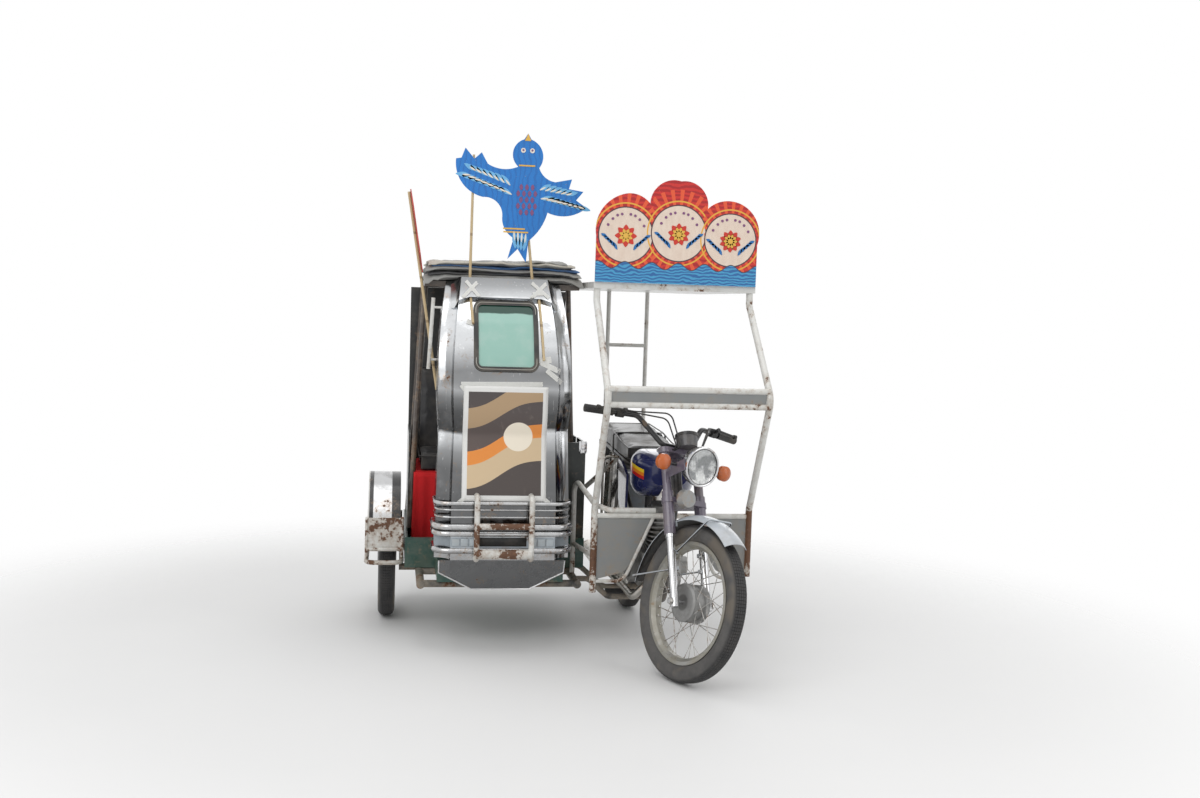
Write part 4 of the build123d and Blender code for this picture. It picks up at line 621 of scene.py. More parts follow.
for wheel, centre in wheel_centres.items():
    for part, make in (("tyre", rubber), ("rim", rim_metal), ("hub", hub_metal)):
        name = f"{wheel}_{make.__name__}"
        finish[name] = make(Shader(name), centre, wheel_axes[wheel])
        solids[name] = f"{wheel}_{part}"
for name, nodes in solids.items():
    for node in nodes.split():
        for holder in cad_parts[node].material_slots:
            holder.material = finish[name]


# Shapes
def placed(name, data):
    """A new object of the scene that holds the given data."""
    thing = bpy.data.objects.new(name, data)
    bpy.context.scene.collection.objects.link(thing)
    return thing


def drawn(name, form, material, smooth=0):
    """A new object of a bmesh, in one finish."""
    mesh = bpy.data.meshes.new(name)
    form.to_mesh(mesh)
    form.free()
    mesh.materials.append(finish[material])
    if smooth:
        mesh.shade_smooth()
        mesh.set_sharp_from_angle(angle=radians(smooth))
    return placed(name, mesh)


def mesh_piece(name, form, material, place=LEVEL, smooth=35, replaced=(), body="frame"):
    """Makes a piece of a bmesh drawn in metres in its own frame, in its place and riding on a body."""
    form.transform(place)
    bmesh.ops.remove_doubles(form, verts=form.verts, dist=1e-6)
    piece = drawn(name, form, material, smooth)
    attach(piece, body)
    if replaced:
        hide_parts(*replaced)
    return piece


def outward(form):
    bmesh.ops.remove_doubles(form, verts=form.verts, dist=1e-6)
    bmesh.ops.recalc_face_normals(form, faces=form.faces)
    return form


def joined(into, form):
    """Adds one bmesh to another, or returns it where there is none yet."""
    if into is None:
        return form
    mesh = bpy.data.meshes.new("joined")
    form.to_mesh(mesh)
    form.free()
    into.from_mesh(mesh)
    bpy.data.meshes.remove(mesh)
    return into


def gathered(make, items, *rest):
    """One bmesh of several alike shapes."""
    form = None
    for item in items:
        form = make(item, *rest, into=form)
    return form


def lathe(profile, steps=64, place=UNMOVED, into=None):
    """Turned shape: the profile's (radius, height) pairs in millimetres spun about the local z axis."""
    form = bmesh.new()
    verts = [form.verts.new((radius / 1000, 0, height / 1000)) for radius, height in profile]
    edges = [form.edges.new(pair) for pair in zip(verts, verts[1:])]
    bmesh.ops.spin(
        form, geom=verts + edges, cent=(0, 0, 0), axis=(0, 0, 1), angle=2 * pi, steps=steps, use_merge=True
    )
    outward(form)
    form.transform(place)
    return joined(into, form)


def tube(points, radius, sides=12, smooth=True, closed=False, into=None):
    """Round bar in millimetres along points, on one smooth line or straight from point to point."""
    curve = bpy.data.curves.new("tube", "CURVE")
    curve.dimensions = "3D"
    curve.bevel_depth = radius / 1000
    curve.bevel_resolution = max(0, sides // 4 - 1)
    curve.use_fill_caps = True
    curve.resolution_u = 8
    spline = curve.splines.new("NURBS" if smooth else "POLY")
    spline.points.add(len(points) - 1)
    for target, point in zip(spline.points, points):
        target.co = (*(Vector(point) / 1000), 1)
    spline.use_cyclic_u = closed
    if smooth:
        spline.order_u = 3
        spline.use_endpoint_u = not closed
    holder = bpy.data.objects.new("tube", curve)
    mesh = bpy.data.meshes.new_from_object(holder)
    form = into or bmesh.new()
    form.from_mesh(mesh)
    bpy.data.objects.remove(holder)
    bpy.data.curves.remove(curve)
    bpy.data.meshes.remove(mesh)
    return form


def slab(corners, bevel=1.0, segments=2, into=None):
    """Block between two corners in millimetres with rounded edges."""
    low, high = Vector(corners[0]), Vector(corners[1])
    form = bmesh.new()
    bmesh.ops.create_cube(form, size=1)
    bmesh.ops.scale(form, vec=(high - low) / 1000, verts=form.verts)
    bmesh.ops.translate(form, vec=(high + low) / 2000, verts=form.verts)
    if bevel:
        rounded(form, bevel, segments)
    return joined(into, form)


def rounded(form, bevel, segments):
    bmesh.ops.bevel(
        form, geom=form.edges[:], offset=bevel / 1000, affect="EDGES", segments=segments, profile=0.5,
        material=-1,
    )


def prism(outline, way):
    """Solid between a flat outline and its copy along a vector, in millimetres."""
    form = bmesh.new()
    face = form.faces.new([form.verts.new(Vector(point) / 1000) for point in outline])
    made = bmesh.ops.extrude_face_region(form, geom=[face])
    moved = [item for item in made["geom"] if isinstance(item, bmesh.types.BMVert)]
    bmesh.ops.translate(form, vec=Vector(way) / 1000, verts=moved)
    return outward(form)


def cut_plate(outline, thickness, into=None):
    """Flat plate in the local x-z plane, its back at y = 0 and its front towards -y."""
    return joined(into, prism([(x, 0, z) for x, z in outline], (0, -thickness, 0)))


def woven(rows):
    """Sheet whose grid of vertices lies on rows of points in millimetres."""
    form = bmesh.new()
    bmesh.ops.create_grid(form, x_segments=len(rows[0]) - 1, y_segments=len(rows) - 1, size=0.5)
    for vertex, point in zip(form.verts, [point for row in rows for point in row]):
        vertex.co = Vector(point) / 1000
    return form


def petal(centre, angle, length, width, steps=20):
    """Pointed oval outline from its foot, pointing up at 0 degrees."""
    turn = radians(angle)
    outline = []
    for step in range(steps):
        way = 2 * pi * step / steps
        along = (1 - cos(way)) / 2
        x = sin(way) * (0.55 + 0.45 * sin(pi * along)) / 2 * width
        z = along * length
        outline.append((centre[0] + x * cos(turn) - z * sin(turn), centre[1] + x * sin(turn) + z * cos(turn)))
    return outline


def disc(centre, radius, steps=32):
    angles = [2 * pi * count / steps for count in range(steps)]
    return [(centre[0] + radius * cos(angle), centre[1] + radius * sin(angle)) for angle in angles]


def facing(origin, forward, roll=Vector((1, 0, 0))):
    """Frame at a point in millimetres whose z axis points forward."""
    z = Vector(forward).normalized()
    x = (roll - z * roll.dot(z)).normalized()
    return stand(Vector(origin) / 1000, x, z.cross(x), z)


def with_uv(form, shift=0.0):
    """Writes a UV map from the form's own x and y."""
    layer = form.loops.layers.uv.new("UVMap")
    for face in form.faces:
        for loop in face.loops:
            loop[layer].uv = (loop.vert.co.x + shift, loop.vert.co.y + shift)
    return form


def rivet(spot, into=None):
    """Domed head at a point, looking along a direction."""
    return lathe([(3.4, 0), (2.55, 1.36), (0, 1.87)], 8, facing(*spot), into)


def nut(spot, into=None):
    """Six-sided nut given by its frame, half its width and its depth."""
    place, size, depth = spot
    angles = [pi * count / 3 for count in range(6)]
    reach = size * 1.155
    form = prism([(reach * cos(angle), reach * sin(angle), 0) for angle in angles], (0, 0, depth))
    rounded(form, 0.9, 2)
    form.transform(place)
    return joined(into, form)


def solid_form(node):
    """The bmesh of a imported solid, in the scene's frame."""
    form = bmesh.new()
    form.from_mesh(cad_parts[node].data)
    form.transform(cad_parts[node].matrix_world)
    return form


def skin(*nodes):
    """Search tree over the outer faces of some nodes."""
    form = None
    for node in nodes:
        form = joined(form, solid_form(node))
    return BVHTree.FromBMesh(form)


# Tyres with raised tread blocks
TREAD_STEPS = 150
# Columns: distance from the middle of the tread, radius
tyre_half = (
    (16, 229), (19.8, 236), (24, 240), (27, 243), (32.5, 252), (36.2, 263), (37, 271), (36, 280), (33, 287),
    (28.5, 293), (24, 295.5), (14, 297.6), (5, 298.6),
)
tyre_profile = [(radius, side) for side, radius in tyre_half]
tyre_profile += [(radius, -side) for side, radius in reversed(tyre_half)] + [(229, 16)]
for wheel, centre in wheel_centres.items():
    form = lathe(tyre_profile, TREAD_STEPS)
    blocks = []
    for face in form.faces:
        middle = face.calc_center_median()
        if middle.to_2d().length > 0.2935 and abs(middle.z) < 0.0255:
            blocks.append(face)
    bmesh.ops.inset_individual(form, faces=blocks, thickness=0.0011, depth=0.0026)
    axis = wheel_axes[wheel]
    up = head_z if wheel == "front" else Vector((0, 0, 1))
    place = stand(centre, up, axis.cross(up), axis)
    mesh_piece(
        f"{wheel}_tread", form, f"{wheel}_rubber", place, 30, (f"{wheel}_tyre",), f"{wheel}_wheel"
    )

# Headlamp: rim, reflector, fluted glass and bulb, all turned about its axis
lamp = HEAD @ facing((0, -169, 516), (0, -cos(RAKE), -sin(RAKE)))
form = lathe([(70.4, 0.4), (71.5, 5), (75, 7), (79, 5), (80.2, 0), (80.2, -9), (79.2, -11), (78.6, -9)], 72)
mesh_piece("headlamp_rim", form, "chrome", lamp, body="steering")
form = lathe([(0, -13), (10, -13), (26, -11.8), (44, -8.5), (58, -4), (69.5, 1.5)], 56)
mesh_piece("headlamp_reflector", form, "lamp_mirror", lamp, body="steering")
form = with_uv(lathe([
    (70, 1.2), (62, 5.5), (45, 9.5), (24, 11.6), (0, 12), (0, 9.6), (24, 9.2), (45, 7), (62, 3.2), (69.6, 0),
]))
mesh_piece("headlamp_glass", form, "fluted_glass", lamp, 50, ("headlamp_lens",), "steering")
form = lathe([(0, -10), (6, -10), (7.5, -4), (6.5, 3), (3, 6), (0, 6.6)], 24)
mesh_piece("headlamp_bulb", form, "chrome", lamp, body="steering")

# Red cloth hung round the seat base
SKIRT_TOP = 664
SKIRT_LOW = 330
SKIRT_STEPS = 200
SKIRT_LEVELS = 14
seat_low, seat_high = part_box("seat_base")
half = (seat_high.x - seat_low.x) * 500 + 5
cloth_y = (seat_low.y - HOME.y) * 1000 - 5
corners = [Vector((CAR_X + x, cloth_y + y)) for x, y in ((-half, 300), (-half, 0), (half, 0), (half, 300))]
runs = [(b - a).length for a, b in zip(corners, corners[1:])]
skirt_length = sum(runs)
columns = []
for step in range(SKIRT_STEPS + 1):
    left = skirt_length * step / SKIRT_STEPS
    for a, b, run in zip(corners, corners[1:], runs):
        if left <= run + 1e-6:
            break
        left -= run
    spot = a.lerp(b, min(1, left / run))
    way = (b - a).normalized()
    column = []
    for level in range(SKIRT_LEVELS + 1):
        drop = level / SKIRT_LEVELS
        ruffle = sin(step * 0.62 + 1.3 * sin(step * 0.13)) * (1.0 + 5 * drop) + 2.5 * drop
        spread = spot + Vector((way.y, -way.x)) * (max(-2, ruffle) + 1.5)
        column.append((spread.x, spread.y, SKIRT_TOP - (SKIRT_TOP - SKIRT_LOW) * drop))
    columns.append(column)
skirt = mesh_piece("seat_cloth", woven(columns), "red_cloth", smooth=80)
skirt.modifiers.new("thick", "SOLIDIFY").thickness = 0.0012


# Stuffed cushions, with the same dents on each run
SWELL_STEPS = 20
DENT_SEED = 4
noise.seed_set(DENT_SEED)


def stuffed(name, node, material, shrink, cap):
    """A cushion blown up from its solid's shape."""
    low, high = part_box(node)
    form = solid_form(node)
    bmesh.ops.remove_doubles(form, verts=form.verts, dist=1e-5)
    piece = mesh_piece(name, form, material, UNMOVED, 0, (node,))
    piece.modifiers.new("remesh", "REMESH").voxel_size = 0.008
    graph = bpy.context.evaluated_depsgraph_get()
    solid = bpy.data.meshes.new_from_object(piece.evaluated_get(graph))
    piece.modifiers.clear()
    old = piece.data
    piece.data = solid
    bpy.data.meshes.remove(old)
    for vertex, normal in [(vertex, vertex.normal.copy()) for vertex in solid.vertices]:
        vertex.co -= normal * shrink / 1000
    rest = [vertex.co.copy() for vertex in solid.vertices]
    swell = piece.modifiers.new("swell", "CLOTH")
    swell.settings.use_pressure = True
    swell.settings.uniform_pressure_force = 4
    swell.settings.effector_weights.gravity = 0
    for step in range(SWELL_STEPS):
        bpy.context.scene.frame_set(step + 1)
    graph = bpy.context.evaluated_depsgraph_get()
    blown = [vertex.co.copy() for vertex in piece.evaluated_get(graph).data.vertices]
    piece.modifiers.clear()
    bpy.context.scene.frame_set(1)
    for vertex, start, end in zip(solid.vertices, rest, blown):
        move = end - start
        vertex.co = start + move.normalized() * min(move.length, cap / 1000)
    for vertex in solid.vertices:
        vertex.co.x = min(max(vertex.co.x, low.x), high.x)
        vertex.co.y = min(max(vertex.co.y, low.y), high.y)
        vertex.co.z = min(max(vertex.co.z, low.z), high.z + 0.008)
        vertex.co += noise.noise_vector(vertex.co * 9) * 0.0016
    solid.shade_smooth()
    fine = piece.modifiers.new("fine", "SUBSURF")
    fine.levels = fine.render_levels = 1


stuffed("bench_cushion_pad", "bench_cushion", "bench_black", 7, 11)
stuffed("bench_back_pad", "bench_back", "bench_black", 7, 11)
stuffed("rider_seat_pad", "rider_seat", "seat_black", 6, 8)

# Welts and strap of the rider's seat, welts of the bench
welts = [[
    (side * 113, 722, 772), (side * 113, 719, 818), (side * 114, 900, 826), (side * 115, 1100, 850),
    (side * 115, 1440, 860), (side * 113, 1474, 822),
] for side in (-1, 1)]
welts += [[(-113, y, z), (113, y, z)] for y, z in ((720, 817), (1438, 860))]
mesh_piece("seat_welts", gathered(tube, welts, 3.2, 8, False), "seat_black")
form = woven([[(x, y, z) for x, z in (
    (-122, 764), (-122.5, 838), (-112, 851), (0, 854), (112, 851), (122.5, 838), (122, 764),
)] for y in (1064, 1094)])
strap = mesh_piece("seat_strap", form, "grip_black", smooth=60)
strap.modifiers.new("thick", "SOLIDIFY").thickness = 0.0025
welts = [[(x, 1016, 736), (x, 1396, 736)] for x in (BENCH_LEFT, BENCH_RIGHT)]
welts += [[(x, 1404, 700), (x, 1404, 1116)] for x in (BENCH_LEFT, BENCH_RIGHT)]
welts += [[(BENCH_LEFT, y, z), (BENCH_RIGHT, y, z)] for y, z in ((1016, 736), (1404, 1116))]
mesh_piece("bench_welts", gathered(tube, welts, 3, 8, False), "bench_black")

# Folded canvas on the cabin roof: loosely stacked layers, the front corners drooping
tarp_low, tarp_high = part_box("roof_tarp")
tarp_size = tarp_high - tarp_low
# Columns: low share, high share, insets left, right and front, droop of the front corners, finish
tarp_layers = (
    (0.00, 0.34, 0, 0, 2, 52, "canvas_grey"), (0.26, 0.46, 16, 26, 8, 14, "canvas_dark"),
    (0.36, 0.62, 4, 8, 3, 26, "canvas_grey"), (0.54, 0.74, 30, 14, 12, 8, "canvas_blue"),
    (0.62, 0.86, 12, 34, 4, 14, "canvas_cream"), (0.78, 1.00, 44, 70, 18, 10, "canvas_grey"),
)


def crumple(x, y, seed):
    """Soft folds with sharp ridges, as a height in metres."""
    folds = noise.noise(Vector((x * 4.2, y * 4.2, seed))) * 0.010
    ridges = 0.5 - abs(noise.noise(Vector((x * 9 + folds * 90, y * 7, seed * 1.7))))
    return folds * 1.5 + ridges * 0.017 + noise.noise(Vector((x * 34, y * 26, seed))) * 0.0034


for number, (start, end, left_in, right_in, front_in, droop, material) in enumerate(tarp_layers):
    form = bmesh.new()
    bmesh.ops.create_cube(form, size=1)
    bmesh.ops.subdivide_edges(form, edges=form.edges[:], cuts=38, use_grid_fill=True)
    for vertex in form.verts:
        x, y, z = vertex.co + Vector((0.5, 0.5, 0.5))
        ragged = noise.noise(Vector((x * 7, y * 7, number * 5.1))) * 0.016
        x_low = tarp_low.x + left_in / 1000 + abs(ragged)
        x_high = tarp_high.x - right_in / 1000 - abs(ragged)
        y_low = tarp_low.y + front_in / 1000 + abs(ragged) * 0.6
        y_high = tarp_high.y - abs(ragged) * 2
        rim = max(abs(x - 0.5), abs(y - 0.5)) * 2
        thin = sqrt(max(0.02, 1 - rim**16))
        place_x = x_low + (x_high - x_low) * x
        place_y = y_low + (y_high - y_low) * y
        level = (start + (end - start) * (0.5 + (z - 0.5) * thin)) * tarp_size.z
        level += crumple(place_x, place_y, number * 3.1) * (0.35 + 0.65 * start)
        level = max(level, 0.0004)
        corner = max(0, abs(x - 0.5) * 2 - 0.76) / 0.24
        front = max(0, 1 - y * tarp_size.y / 0.03)
        level -= droop / 1000 * corner * front * (0.6 + 0.4 * noise.noise(Vector((x * 30, 0, number))))
        vertex.co = Vector((place_x, place_y, min(tarp_low.z + level, tarp_high.z + 0.008)))
    replaced = () if number else ("roof_tarp",)
    layer = mesh_piece(f"canvas_layer_{number}", form, material, UNMOVED, 60, replaced)

bpy.context.view_layer.update()
front_skin = skin("hood", "nose")


def front_y(x, z, on=front_skin):
    """How far back the front of the hood or nose lies at a place, in millimetres."""
    hit = on.ray_cast(at(x, -200, z), Vector((0, 1, 0)))[0]
    return (hit.y - HOME.y) * 1000 if hit else 700


def side_x(side, y, z):
    """How far to a side the hood or nose reaches at a place, in millimetres."""
    hit = front_skin.ray_cast(at(CAR_X + side * 900, y, z), Vector((-side, 0, 0)))[0]
    return (hit.x - HOME.x) * 1000


# Printed sheet taped on the nose and hood
SHEET_X = (-847, -505)
SHEET_Z = (626, 1091)
form = bmesh.new()
bmesh.ops.create_grid(form, x_segments=24, y_segments=48, size=0.5)
with_uv(form, 0.5)
for vertex in form.verts:
    x = SHEET_X[0] + (SHEET_X[1] - SHEET_X[0]) * (vertex.co.x + 0.5)
    z = SHEET_Z[0] + (SHEET_Z[1] - SHEET_Z[0]) * (vertex.co.y + 0.5)
    depths = [front_y(x, min(max(z + step, 628), 1100)) for step in (-36, -18, 0, 18, 36)]
    surface = min(*depths[1:4], sum(depths) / 5)
    buckle = noise.noise(Vector((x * 0.011, z * 0.008, 2.0))) * 1.6
    vertex.co = (x / 1000, (surface - 2.6 + buckle) / 1000, z / 1000)
sheet = mesh_piece("printed_sheet", form, "printed_sheet", smooth=80)
sheet.modifiers.new("thick", "SOLIDIFY").thickness = 0.0006


SHEET_TAPE_LIFT = 3.4
HOOD_TAPE_LIFT = 1.6


def tape(strip, into=None):
    """One strip of tape in millimetres, laid on the hood round a middle point at an angle from level."""
    x, z, angle, length, width = strip
    lift = SHEET_TAPE_LIFT if z < SHEET_Z[1] + 10 else HOOD_TAPE_LIFT
    turn = radians(angle)
    form = bmesh.new()
    bmesh.ops.create_grid(form, x_segments=14, y_segments=3, size=0.5)
    for vertex in form.verts:
        ragged = noise.noise(Vector((vertex.co.y * 9, x, z))) * 4 if abs(vertex.co.x) > 0.49 else 0
        along = vertex.co.x * length + ragged
        across = vertex.co.y * width
        place_x = x + along * cos(turn) - across * sin(turn)
        place_z = z + along * sin(turn) + across * cos(turn)
        buckle = abs(noise.noise(Vector((place_x * 0.05, place_z * 0.05, 3)))) * 2.5
        vertex.co = (place_x / 1000, (front_y(place_x, place_z) - lift - buckle) / 1000, place_z / 1000)
    return joined(into, form)


# Columns: middle x, middle z, angle, length, width
strips = (
    (-822, 1476, 47, 92, 15), (-810, 1482, -50, 84, 15), (-536, 1480, 44, 96, 15), (-528, 1484, -42, 92, 15),
    (-540, 1469, 4, 42, 16), (-813, 1341, -18, 44, 20), (-524, 1196, 12, 62, 26), (-496, 1172, -24, 96, 22),
    (-478, 1132, -38, 84, 20), (-694, 1099, 1, 330, 20), (-846, 1078, -50, 40, 16), (-842, 633, 40, 44, 16),
    (-508, 634, -40, 44, 16),
)
mesh_piece("tape_strips", gathered(tape, strips), "masking_tape", smooth=80)

# Lower ends of the two sticks beside the window
STICK_TOP = 1444
ends = []
for top_x, low_x, low_z in ((-818, -810, 1338), (-534, -523, 1198)):
    steps = [(top_x + (low_x - top_x) * k / 6, STICK_TOP + (low_z - STICK_TOP) * k / 6) for k in range(7)]
    ends.append([(x, front_y(x, z) - 7, z) for x, z in steps])
mesh_piece("stick_ends", gathered(tube, ends, 5.2), "bamboo")

# Bead round the window, laid on the gasket
WINDOW_Z = 1293
BEAD_CORNER = 28
gasket_skin = skin("window_gasket")
ring = []
for quarter, (sign_x, sign_z) in enumerate(((1, 1), (-1, 1), (-1, -1), (1, -1))):
    for step in range(9):
        angle = radians(90 * quarter + 90 * step / 8)
        x = CAR_X + sign_x * 95 + BEAD_CORNER * cos(angle)
        z = WINDOW_Z + sign_z * 106 + BEAD_CORNER * sin(angle)
        ring.append((x, front_y(x, z, gasket_skin) - 0.6, z))
mesh_piece("gasket_bead", tube(ring, 2.6, 8, False, True), "bead_grey", smooth=60)

# Rim along the skirt's lower edge, a black box behind the slot as painted shade, and the lenses beside it
rim = [(CAR_X + x, 425 + v * 0.4706, 383 - v * 0.8824) for x, v in (
    (-256, 2), (-256, 64), (-120, 152), (120, 152), (256, 64), (256, 2),
)]
mesh_piece("skirt_rim", tube(rim, 3.2, 8, False), "edge_steel", smooth=50)
form = slab(((CAR_X - 118, 433, 428), (CAR_X + 118, 439, 494)))
mesh_piece("slot_backing", form, "inner_black")
middles = [CAR_X + side * (121 + count * 35) for side in (-1, 1) for count in range(3)]
form = gathered(slab, [((x - 15.5, 403.6, 443), (x + 15.5, 407.8, 474)) for x in middles], 2.5)
mesh_piece("lamp_box_lenses", form, "lens_smoke")

# Bent bracket at the top of the front panel
form = slab(((-322, 788, 790), (-286, 793.8, 836)), 2)
form = slab(((-318, 774, 784), (-290, 792, 802)), 3, into=form)
mesh_piece("panel_bracket", form, "chrome")

# Black seal inside the headlamp's rim
form = lathe([(69.2, 1.8), (71.2, 1.8), (71.2, 5.4), (69.2, 5.4), (69.2, 1.8)])
mesh_piece("headlamp_seal", form, "cable_black", lamp, body="steering")

# Spoke nipples, as far from the hub as the spokes reach
NIPPLE_RADIUS = 219
for wheel, centre in wheel_centres.items():
    axis = wheel_axes[wheel]
    forward = head_y if wheel == "front" else Vector((0, 1, 0))
    form = None
    for side in (-1, 1):
        for lean_way in (-1, 1):
            for count in range(9):
                angle = radians(count * 40 + (side > 0) * 10 + (lean_way > 0) * 20 + lean_way * 60)
                foot = (side * 3, NIPPLE_RADIUS * cos(angle), NIPPLE_RADIUS * sin(angle))
                place = facing(foot, (0, -cos(angle), -sin(angle)))
                form = lathe([(0, 0), (3.4, 0), (3.4, 5), (2.6, 14), (0, 14)], 8, place, form)
    place = stand(centre, axis, forward, axis.cross(forward))
    mesh_piece(f"{wheel}_nipples", form, "dull_chrome", place, body=f"{wheel}_wheel")

# Rivets of the hood, the nose and the cabin's panels
spots = [((CAR_X + x, CABIN_BACK_Y, z), (0, 1, 0)) for x in range(-300, 301, 75) for z in (426, 1474)]
for side in (-1, 1):
    out = (side, 0, 0)
    spots += [((side_x(side, 748, z), 748, z), out) for z in range(935, 1490, 50)]
    spots += [((side_x(side, 628, z), 628, z), out) for z in range(650, 900, 48)]
    spots += [((CAR_X + side * 377, y, z), out) for y in range(1070, 1510, 62) for z in (818, 424)]
    spots += [((CAR_X + side * 362, CABIN_BACK_Y, z), (0, 1, 0)) for z in range(440, 1480, 80)]
mesh_piece("panel_rivets", gathered(rivet, spots), "dull_chrome")

# Fuel cap
cap_top = skin("fuel_tank").ray_cast(at(0, 520, 1200), Vector((0, 0, -1)))[0]
form = lathe([(0, -3), (31, -3), (31, 4), (28, 8), (25, 8.5), (23, 13), (18, 15), (0, 15.5)], 40)
mesh_piece("fuel_cap", form, "chrome", Matrix.Translation(cap_top))

# Ribbed mat on the cabin floor
MAT_RIB_PITCH = 28.2
floor_top = skin("lower_tub").ray_cast(at(CAR_X, 900, 600), Vector((0, 0, -1)))[0].z * 1000
form = slab(((CAR_X - 340, 806, floor_top + 0.3), (CAR_X + 340, 1010, floor_top + 3)), 0.6)
middles = [CAR_X - 325 + count * MAT_RIB_PITCH for count in range(24)]
ribs = [((x - 4, 814, floor_top + 2.6), (x + 4, 1002, floor_top + 5)) for x in middles]
mesh_piece("floor_mat", joined(form, gathered(slab, ribs, 0.8, 1)), "cable_black")

# Nuts and washers on the front axle
FORK_NUT_X = 99
head_up = Vector((0, 0, 1))
form = None
for side in (-1, 1):
    washer_spot, nut_spot = [
        facing((side * x, -FORK_OFFSET, 0), (side, 0, 0), head_up) for x in (FORK_NUT_X - 2, FORK_NUT_X)
    ]
    form = lathe([(0, 0), (14, 0), (14, 2), (0, 2)], 24, washer_spot, nut((nut_spot, 11, 9), form))
mesh_piece("front_axle_nuts", form, "dull_chrome", HEAD, body="steering")

# Dial with its needle and marks on the instrument pod
POD_TOP = 674.3
dial = HEAD @ Matrix.Translation(Vector((0, -88, POD_TOP)) / 1000)
form = lathe([
    (45.2, -8), (47.4, -8), (47.4, 4), (45.6, 5.2), (40.5, 5.2), (39.2, 1.2), (39.2, -1), (45.2, -1),
], 48)
mesh_piece("dial_bezel", form, "bar_black", dial, body="steering")
form = lathe([(0, 0.2), (39, 0.2), (39, 1.2), (0, 1.2)], 48)
mesh_piece("dial_face", form, "dial_black", dial, body="steering")
form = slab(((-1.1, -6, 2.0), (1.1, 27, 2.6)), 0)
for count in range(21):
    mark = slab(((-0.7, 29 if count % 2 else 26, 1.2), (0.7, 34, 1.7)), 0)
    mark.transform(Matrix.Rotation(radians(-130 + 13 * count), 4, "Z"))
    form = joined(form, mark)
mesh_piece("dial_marks", form, "mark_cream", dial, 0, body="steering")

# Blank number plate
BRACKET_BACK_Y = 1501.3
form = slab(((-112, BRACKET_BACK_Y + 0.6, 616), (112, BRACKET_BACK_Y + 2.2, 690)), 0.5, 1)
mesh_piece("blank_plate", form, "white_slab")
bolts = [(facing((x, BRACKET_BACK_Y + 2.2, 665), (0, 1, 0)), 5, 4) for x in (-90, 90)]
mesh_piece("plate_bolts", gathered(nut, bolts), "dull_chrome")

# Motifs on the painted board: a flower with leaf sprays on each disc
BOARD_FRONT_Y = 497.6
board = Matrix.Translation(HOME + Vector((0, BOARD_FRONT_Y / 1000, 0)))
petals, hearts, cores, sprays, dots = [], [], [], [], []
for fan, (middle_x, middle_z, radius) in enumerate(board_fans):
    middle = (middle_x, middle_z - 4)
    turn = 360 / (8 + fan)
    petals += [petal(middle, count * turn, 46, 26) for count in range(8 + fan)]
    hearts += [petal(middle, (count + 0.5) * turn, 30, 15) for count in range(8 + fan)]
    cores.append(disc(middle, 11))
    for side in (-1, 1):
        for count in range(5):
            foot = (middle_x + side * (34 + count * 11), middle_z - 62 + count * 13)
            sprays.append(petal(foot, side * (-30 - count * 9), 36 - count * 2, 13))
        for count in range(4):
            dots.append(disc((middle_x + side * (18 + count * 19), middle_z + 84 - count * count * 5), 5.5))
for name, form, material in (
    ("board_petals", gathered(cut_plate, petals, 1.2), "flat_red"),
    ("board_hearts", joined(gathered(cut_plate, hearts, 2.0), gathered(cut_plate, cores, 2.8)), "flat_gold"),
    ("board_sprays", gathered(cut_plate, sprays, 1.2), "flat_blue"),
    ("board_dots", gathered(cut_plate, dots, 1.2), "flat_violet"),
):
    mesh_piece(name, form, material, board)

# Feathers, breast, bands and head of the blue bird
BIRD_FRONT_Y = 688.4
bird = Matrix.Translation(HOME + Vector((0, BIRD_FRONT_Y / 1000, 0)))
# Columns: first foot, step from foot to foot, first angle, step of the angle, count, length, width
feather_rows = (
    ((-652, 1880), (-25, 10.5), 62, 3.5, 8, 62, 21), ((-660, 1918), (-24, 9), 42, 3, 7, 58, 20),
    ((-532, 1868), (22, -3.5), -84, -3, 8, 62, 21), ((-536, 1904), (22, -3), -62, -3, 6, 54, 19),
    ((-640, 1730), (17, -3), 186, -4, 4, 74, 20),
)
feathers, quills = [], []
for foot, step, angle, turn, number, length, width in feather_rows:
    for count in range(number):
        spot = (foot[0] + step[0] * count, foot[1] + step[1] * count)
        feathers.append(petal(spot, angle + turn * count, length, width))
        quills.append(petal(spot, angle + turn * count, length * 0.55, width * 0.35))
breast = [
    petal((-614 + count * 24 - level % 2 * 12, 1796 + level * 26), 0, 26, 15)
    for level in range(5) for count in range(3 + level % 2)
]
beak_and_bands = [[(-604, 2106), (-577, 2106), (-590, 2136)]]
for x, z, wide in ((-592, 2000, 34), (-640, 1736, 46), (-632, 1722, 52)):
    beak_and_bands.append([(x - wide, z), (x - wide, z + 6), (x + wide, z + 6), (x + wide, z)])
for name, outlines, thickness, material in (
    ("feathers", feathers, 1.2, "flat_sky"), ("quills", quills, 1.8, "flat_cream"),
    ("breast", breast, 1.4, "flat_violet"), ("beak_and_bands", beak_and_bands, 1.6, "flat_gold"),
    ("eyes", [disc((x, 2066), 10) for x in (-609, -571)], 1.6, "flat_cream"),
    ("pupils", [disc((x, 2067), 4.5) for x in (-609, -571)], 2.2, "flat_violet"),
):
    mesh_piece(f"bird_{name}", gathered(cut_plate, outlines, thickness), material, bird)

# Floor, light and camera
form = bmesh.new()
bmesh.ops.create_grid(form, x_segments=1, y_segments=1, size=14)
drawn("floor", form, "floor_pale")

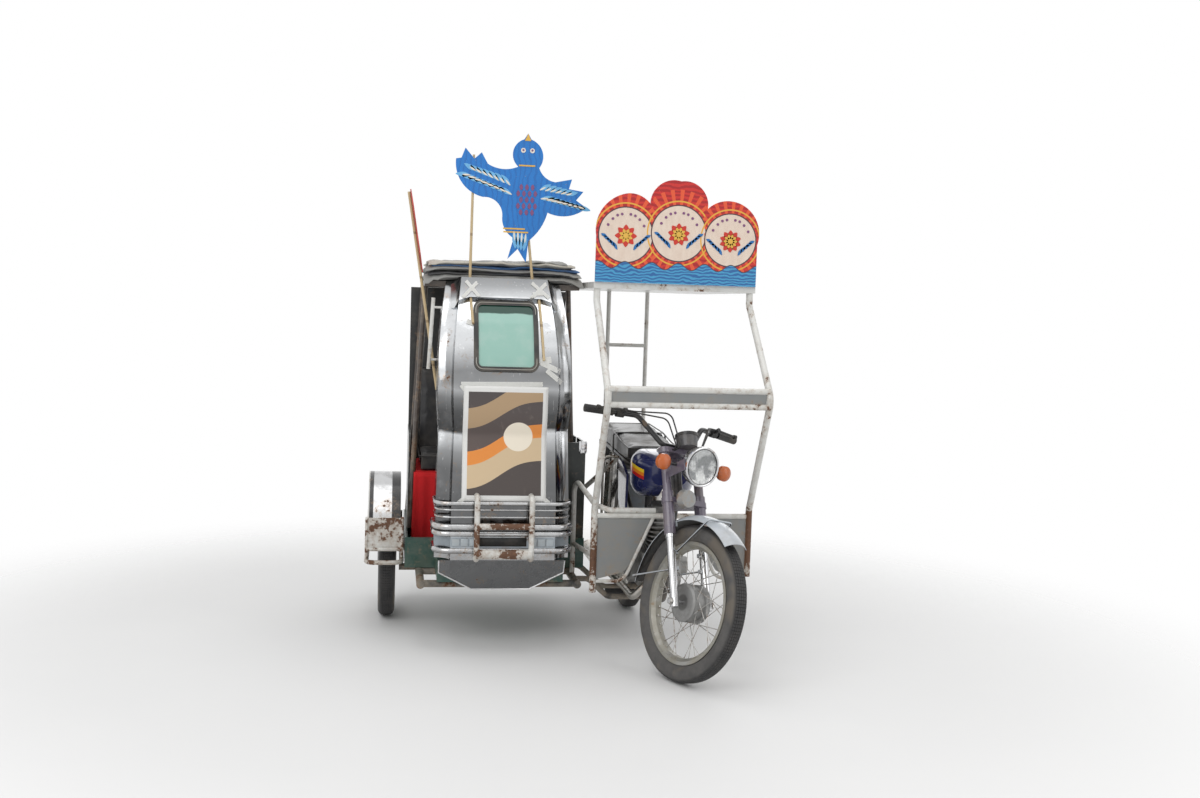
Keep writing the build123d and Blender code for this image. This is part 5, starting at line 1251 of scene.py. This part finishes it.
# White where the camera, a reflection or clear glass sees it, dimmer as light
SEEN_STRENGTH = 1.0
LIGHT_STRENGTH = 0.58
world = bpy.data.worlds.new("studio")
world.use_nodes = True
bpy.context.scene.world = world
nodes = world.node_tree.nodes
links = world.node_tree.links
background = nodes["Background"]
background.inputs["Color"].default_value = (1, 1, 1, 1)
rays = nodes.new("ShaderNodeLightPath")
seen = rays.outputs["Is Camera Ray"]
for ray in ("Is Transmission Ray", "Is Glossy Ray"):
    either = nodes.new("ShaderNodeMath")
    either.operation = "MAXIMUM"
    links.new(seen, either.inputs[0])
    links.new(rays.outputs[ray], either.inputs[1])
    seen = either.outputs[0]
strength = nodes.new("ShaderNodeMapRange")
strength.inputs["To Min"].default_value = LIGHT_STRENGTH
strength.inputs["To Max"].default_value = SEEN_STRENGTH
links.new(seen, strength.inputs["Value"])
links.new(strength.outputs[0], background.inputs["Strength"])

# Columns: name, place, aim, width, height, power
for name, place, aim, wide, tall, power in (
    ("key", (-3400, -3600, 4300), (-300, 600, 900), 4.6, 3.6, 112),
    ("fill", (4200, -2600, 2800), (-200, 700, 800), 3.6, 3.6, 40),
    ("top", (-300, 900, 5200), (-300, 900, 0), 4.5, 4.5, 64),
    ("back", (1800, 5600, 3200), (-300, 900, 900), 4.0, 3.0, 44),
):
    data = bpy.data.lights.new(name, "AREA")
    data.shape = "RECTANGLE"
    data.size = wide
    data.size_y = tall
    data.energy = power
    light = placed(name, data)
    light.location = at(*place)
    light.rotation_euler = (at(*aim) - at(*place)).to_track_quat("-Z", "Y").to_euler()

LENS_PIXELS = 1318.2
IMAGE_WIDTH = 1200
SENSOR = 36
YAW = radians(-9.08)
PITCH = radians(4.04)
ROLL = radians(1.82)
level_right = Vector((cos(YAW), sin(YAW), 0))
view_way = Vector((-sin(YAW), cos(YAW), 0)) * cos(PITCH) - Vector((0, 0, 1)) * sin(PITCH)
level_up = level_right.cross(view_way)
right = level_right * cos(ROLL) + level_up * sin(ROLL)
up = level_up * cos(ROLL) - level_right * sin(ROLL)
lens = bpy.data.cameras.new("camera")
lens.sensor_width = SENSOR
lens.lens = LENS_PIXELS * SENSOR / IMAGE_WIDTH
camera = placed("camera", lens)
camera.matrix_world = stand(at(-1139.7, -4870.3, 1427.7), right, up, -view_way)
bpy.context.scene.camera = camera
bpy.context.scene.view_settings.view_transform = "Standard"

bpy.context.view_layer.update()
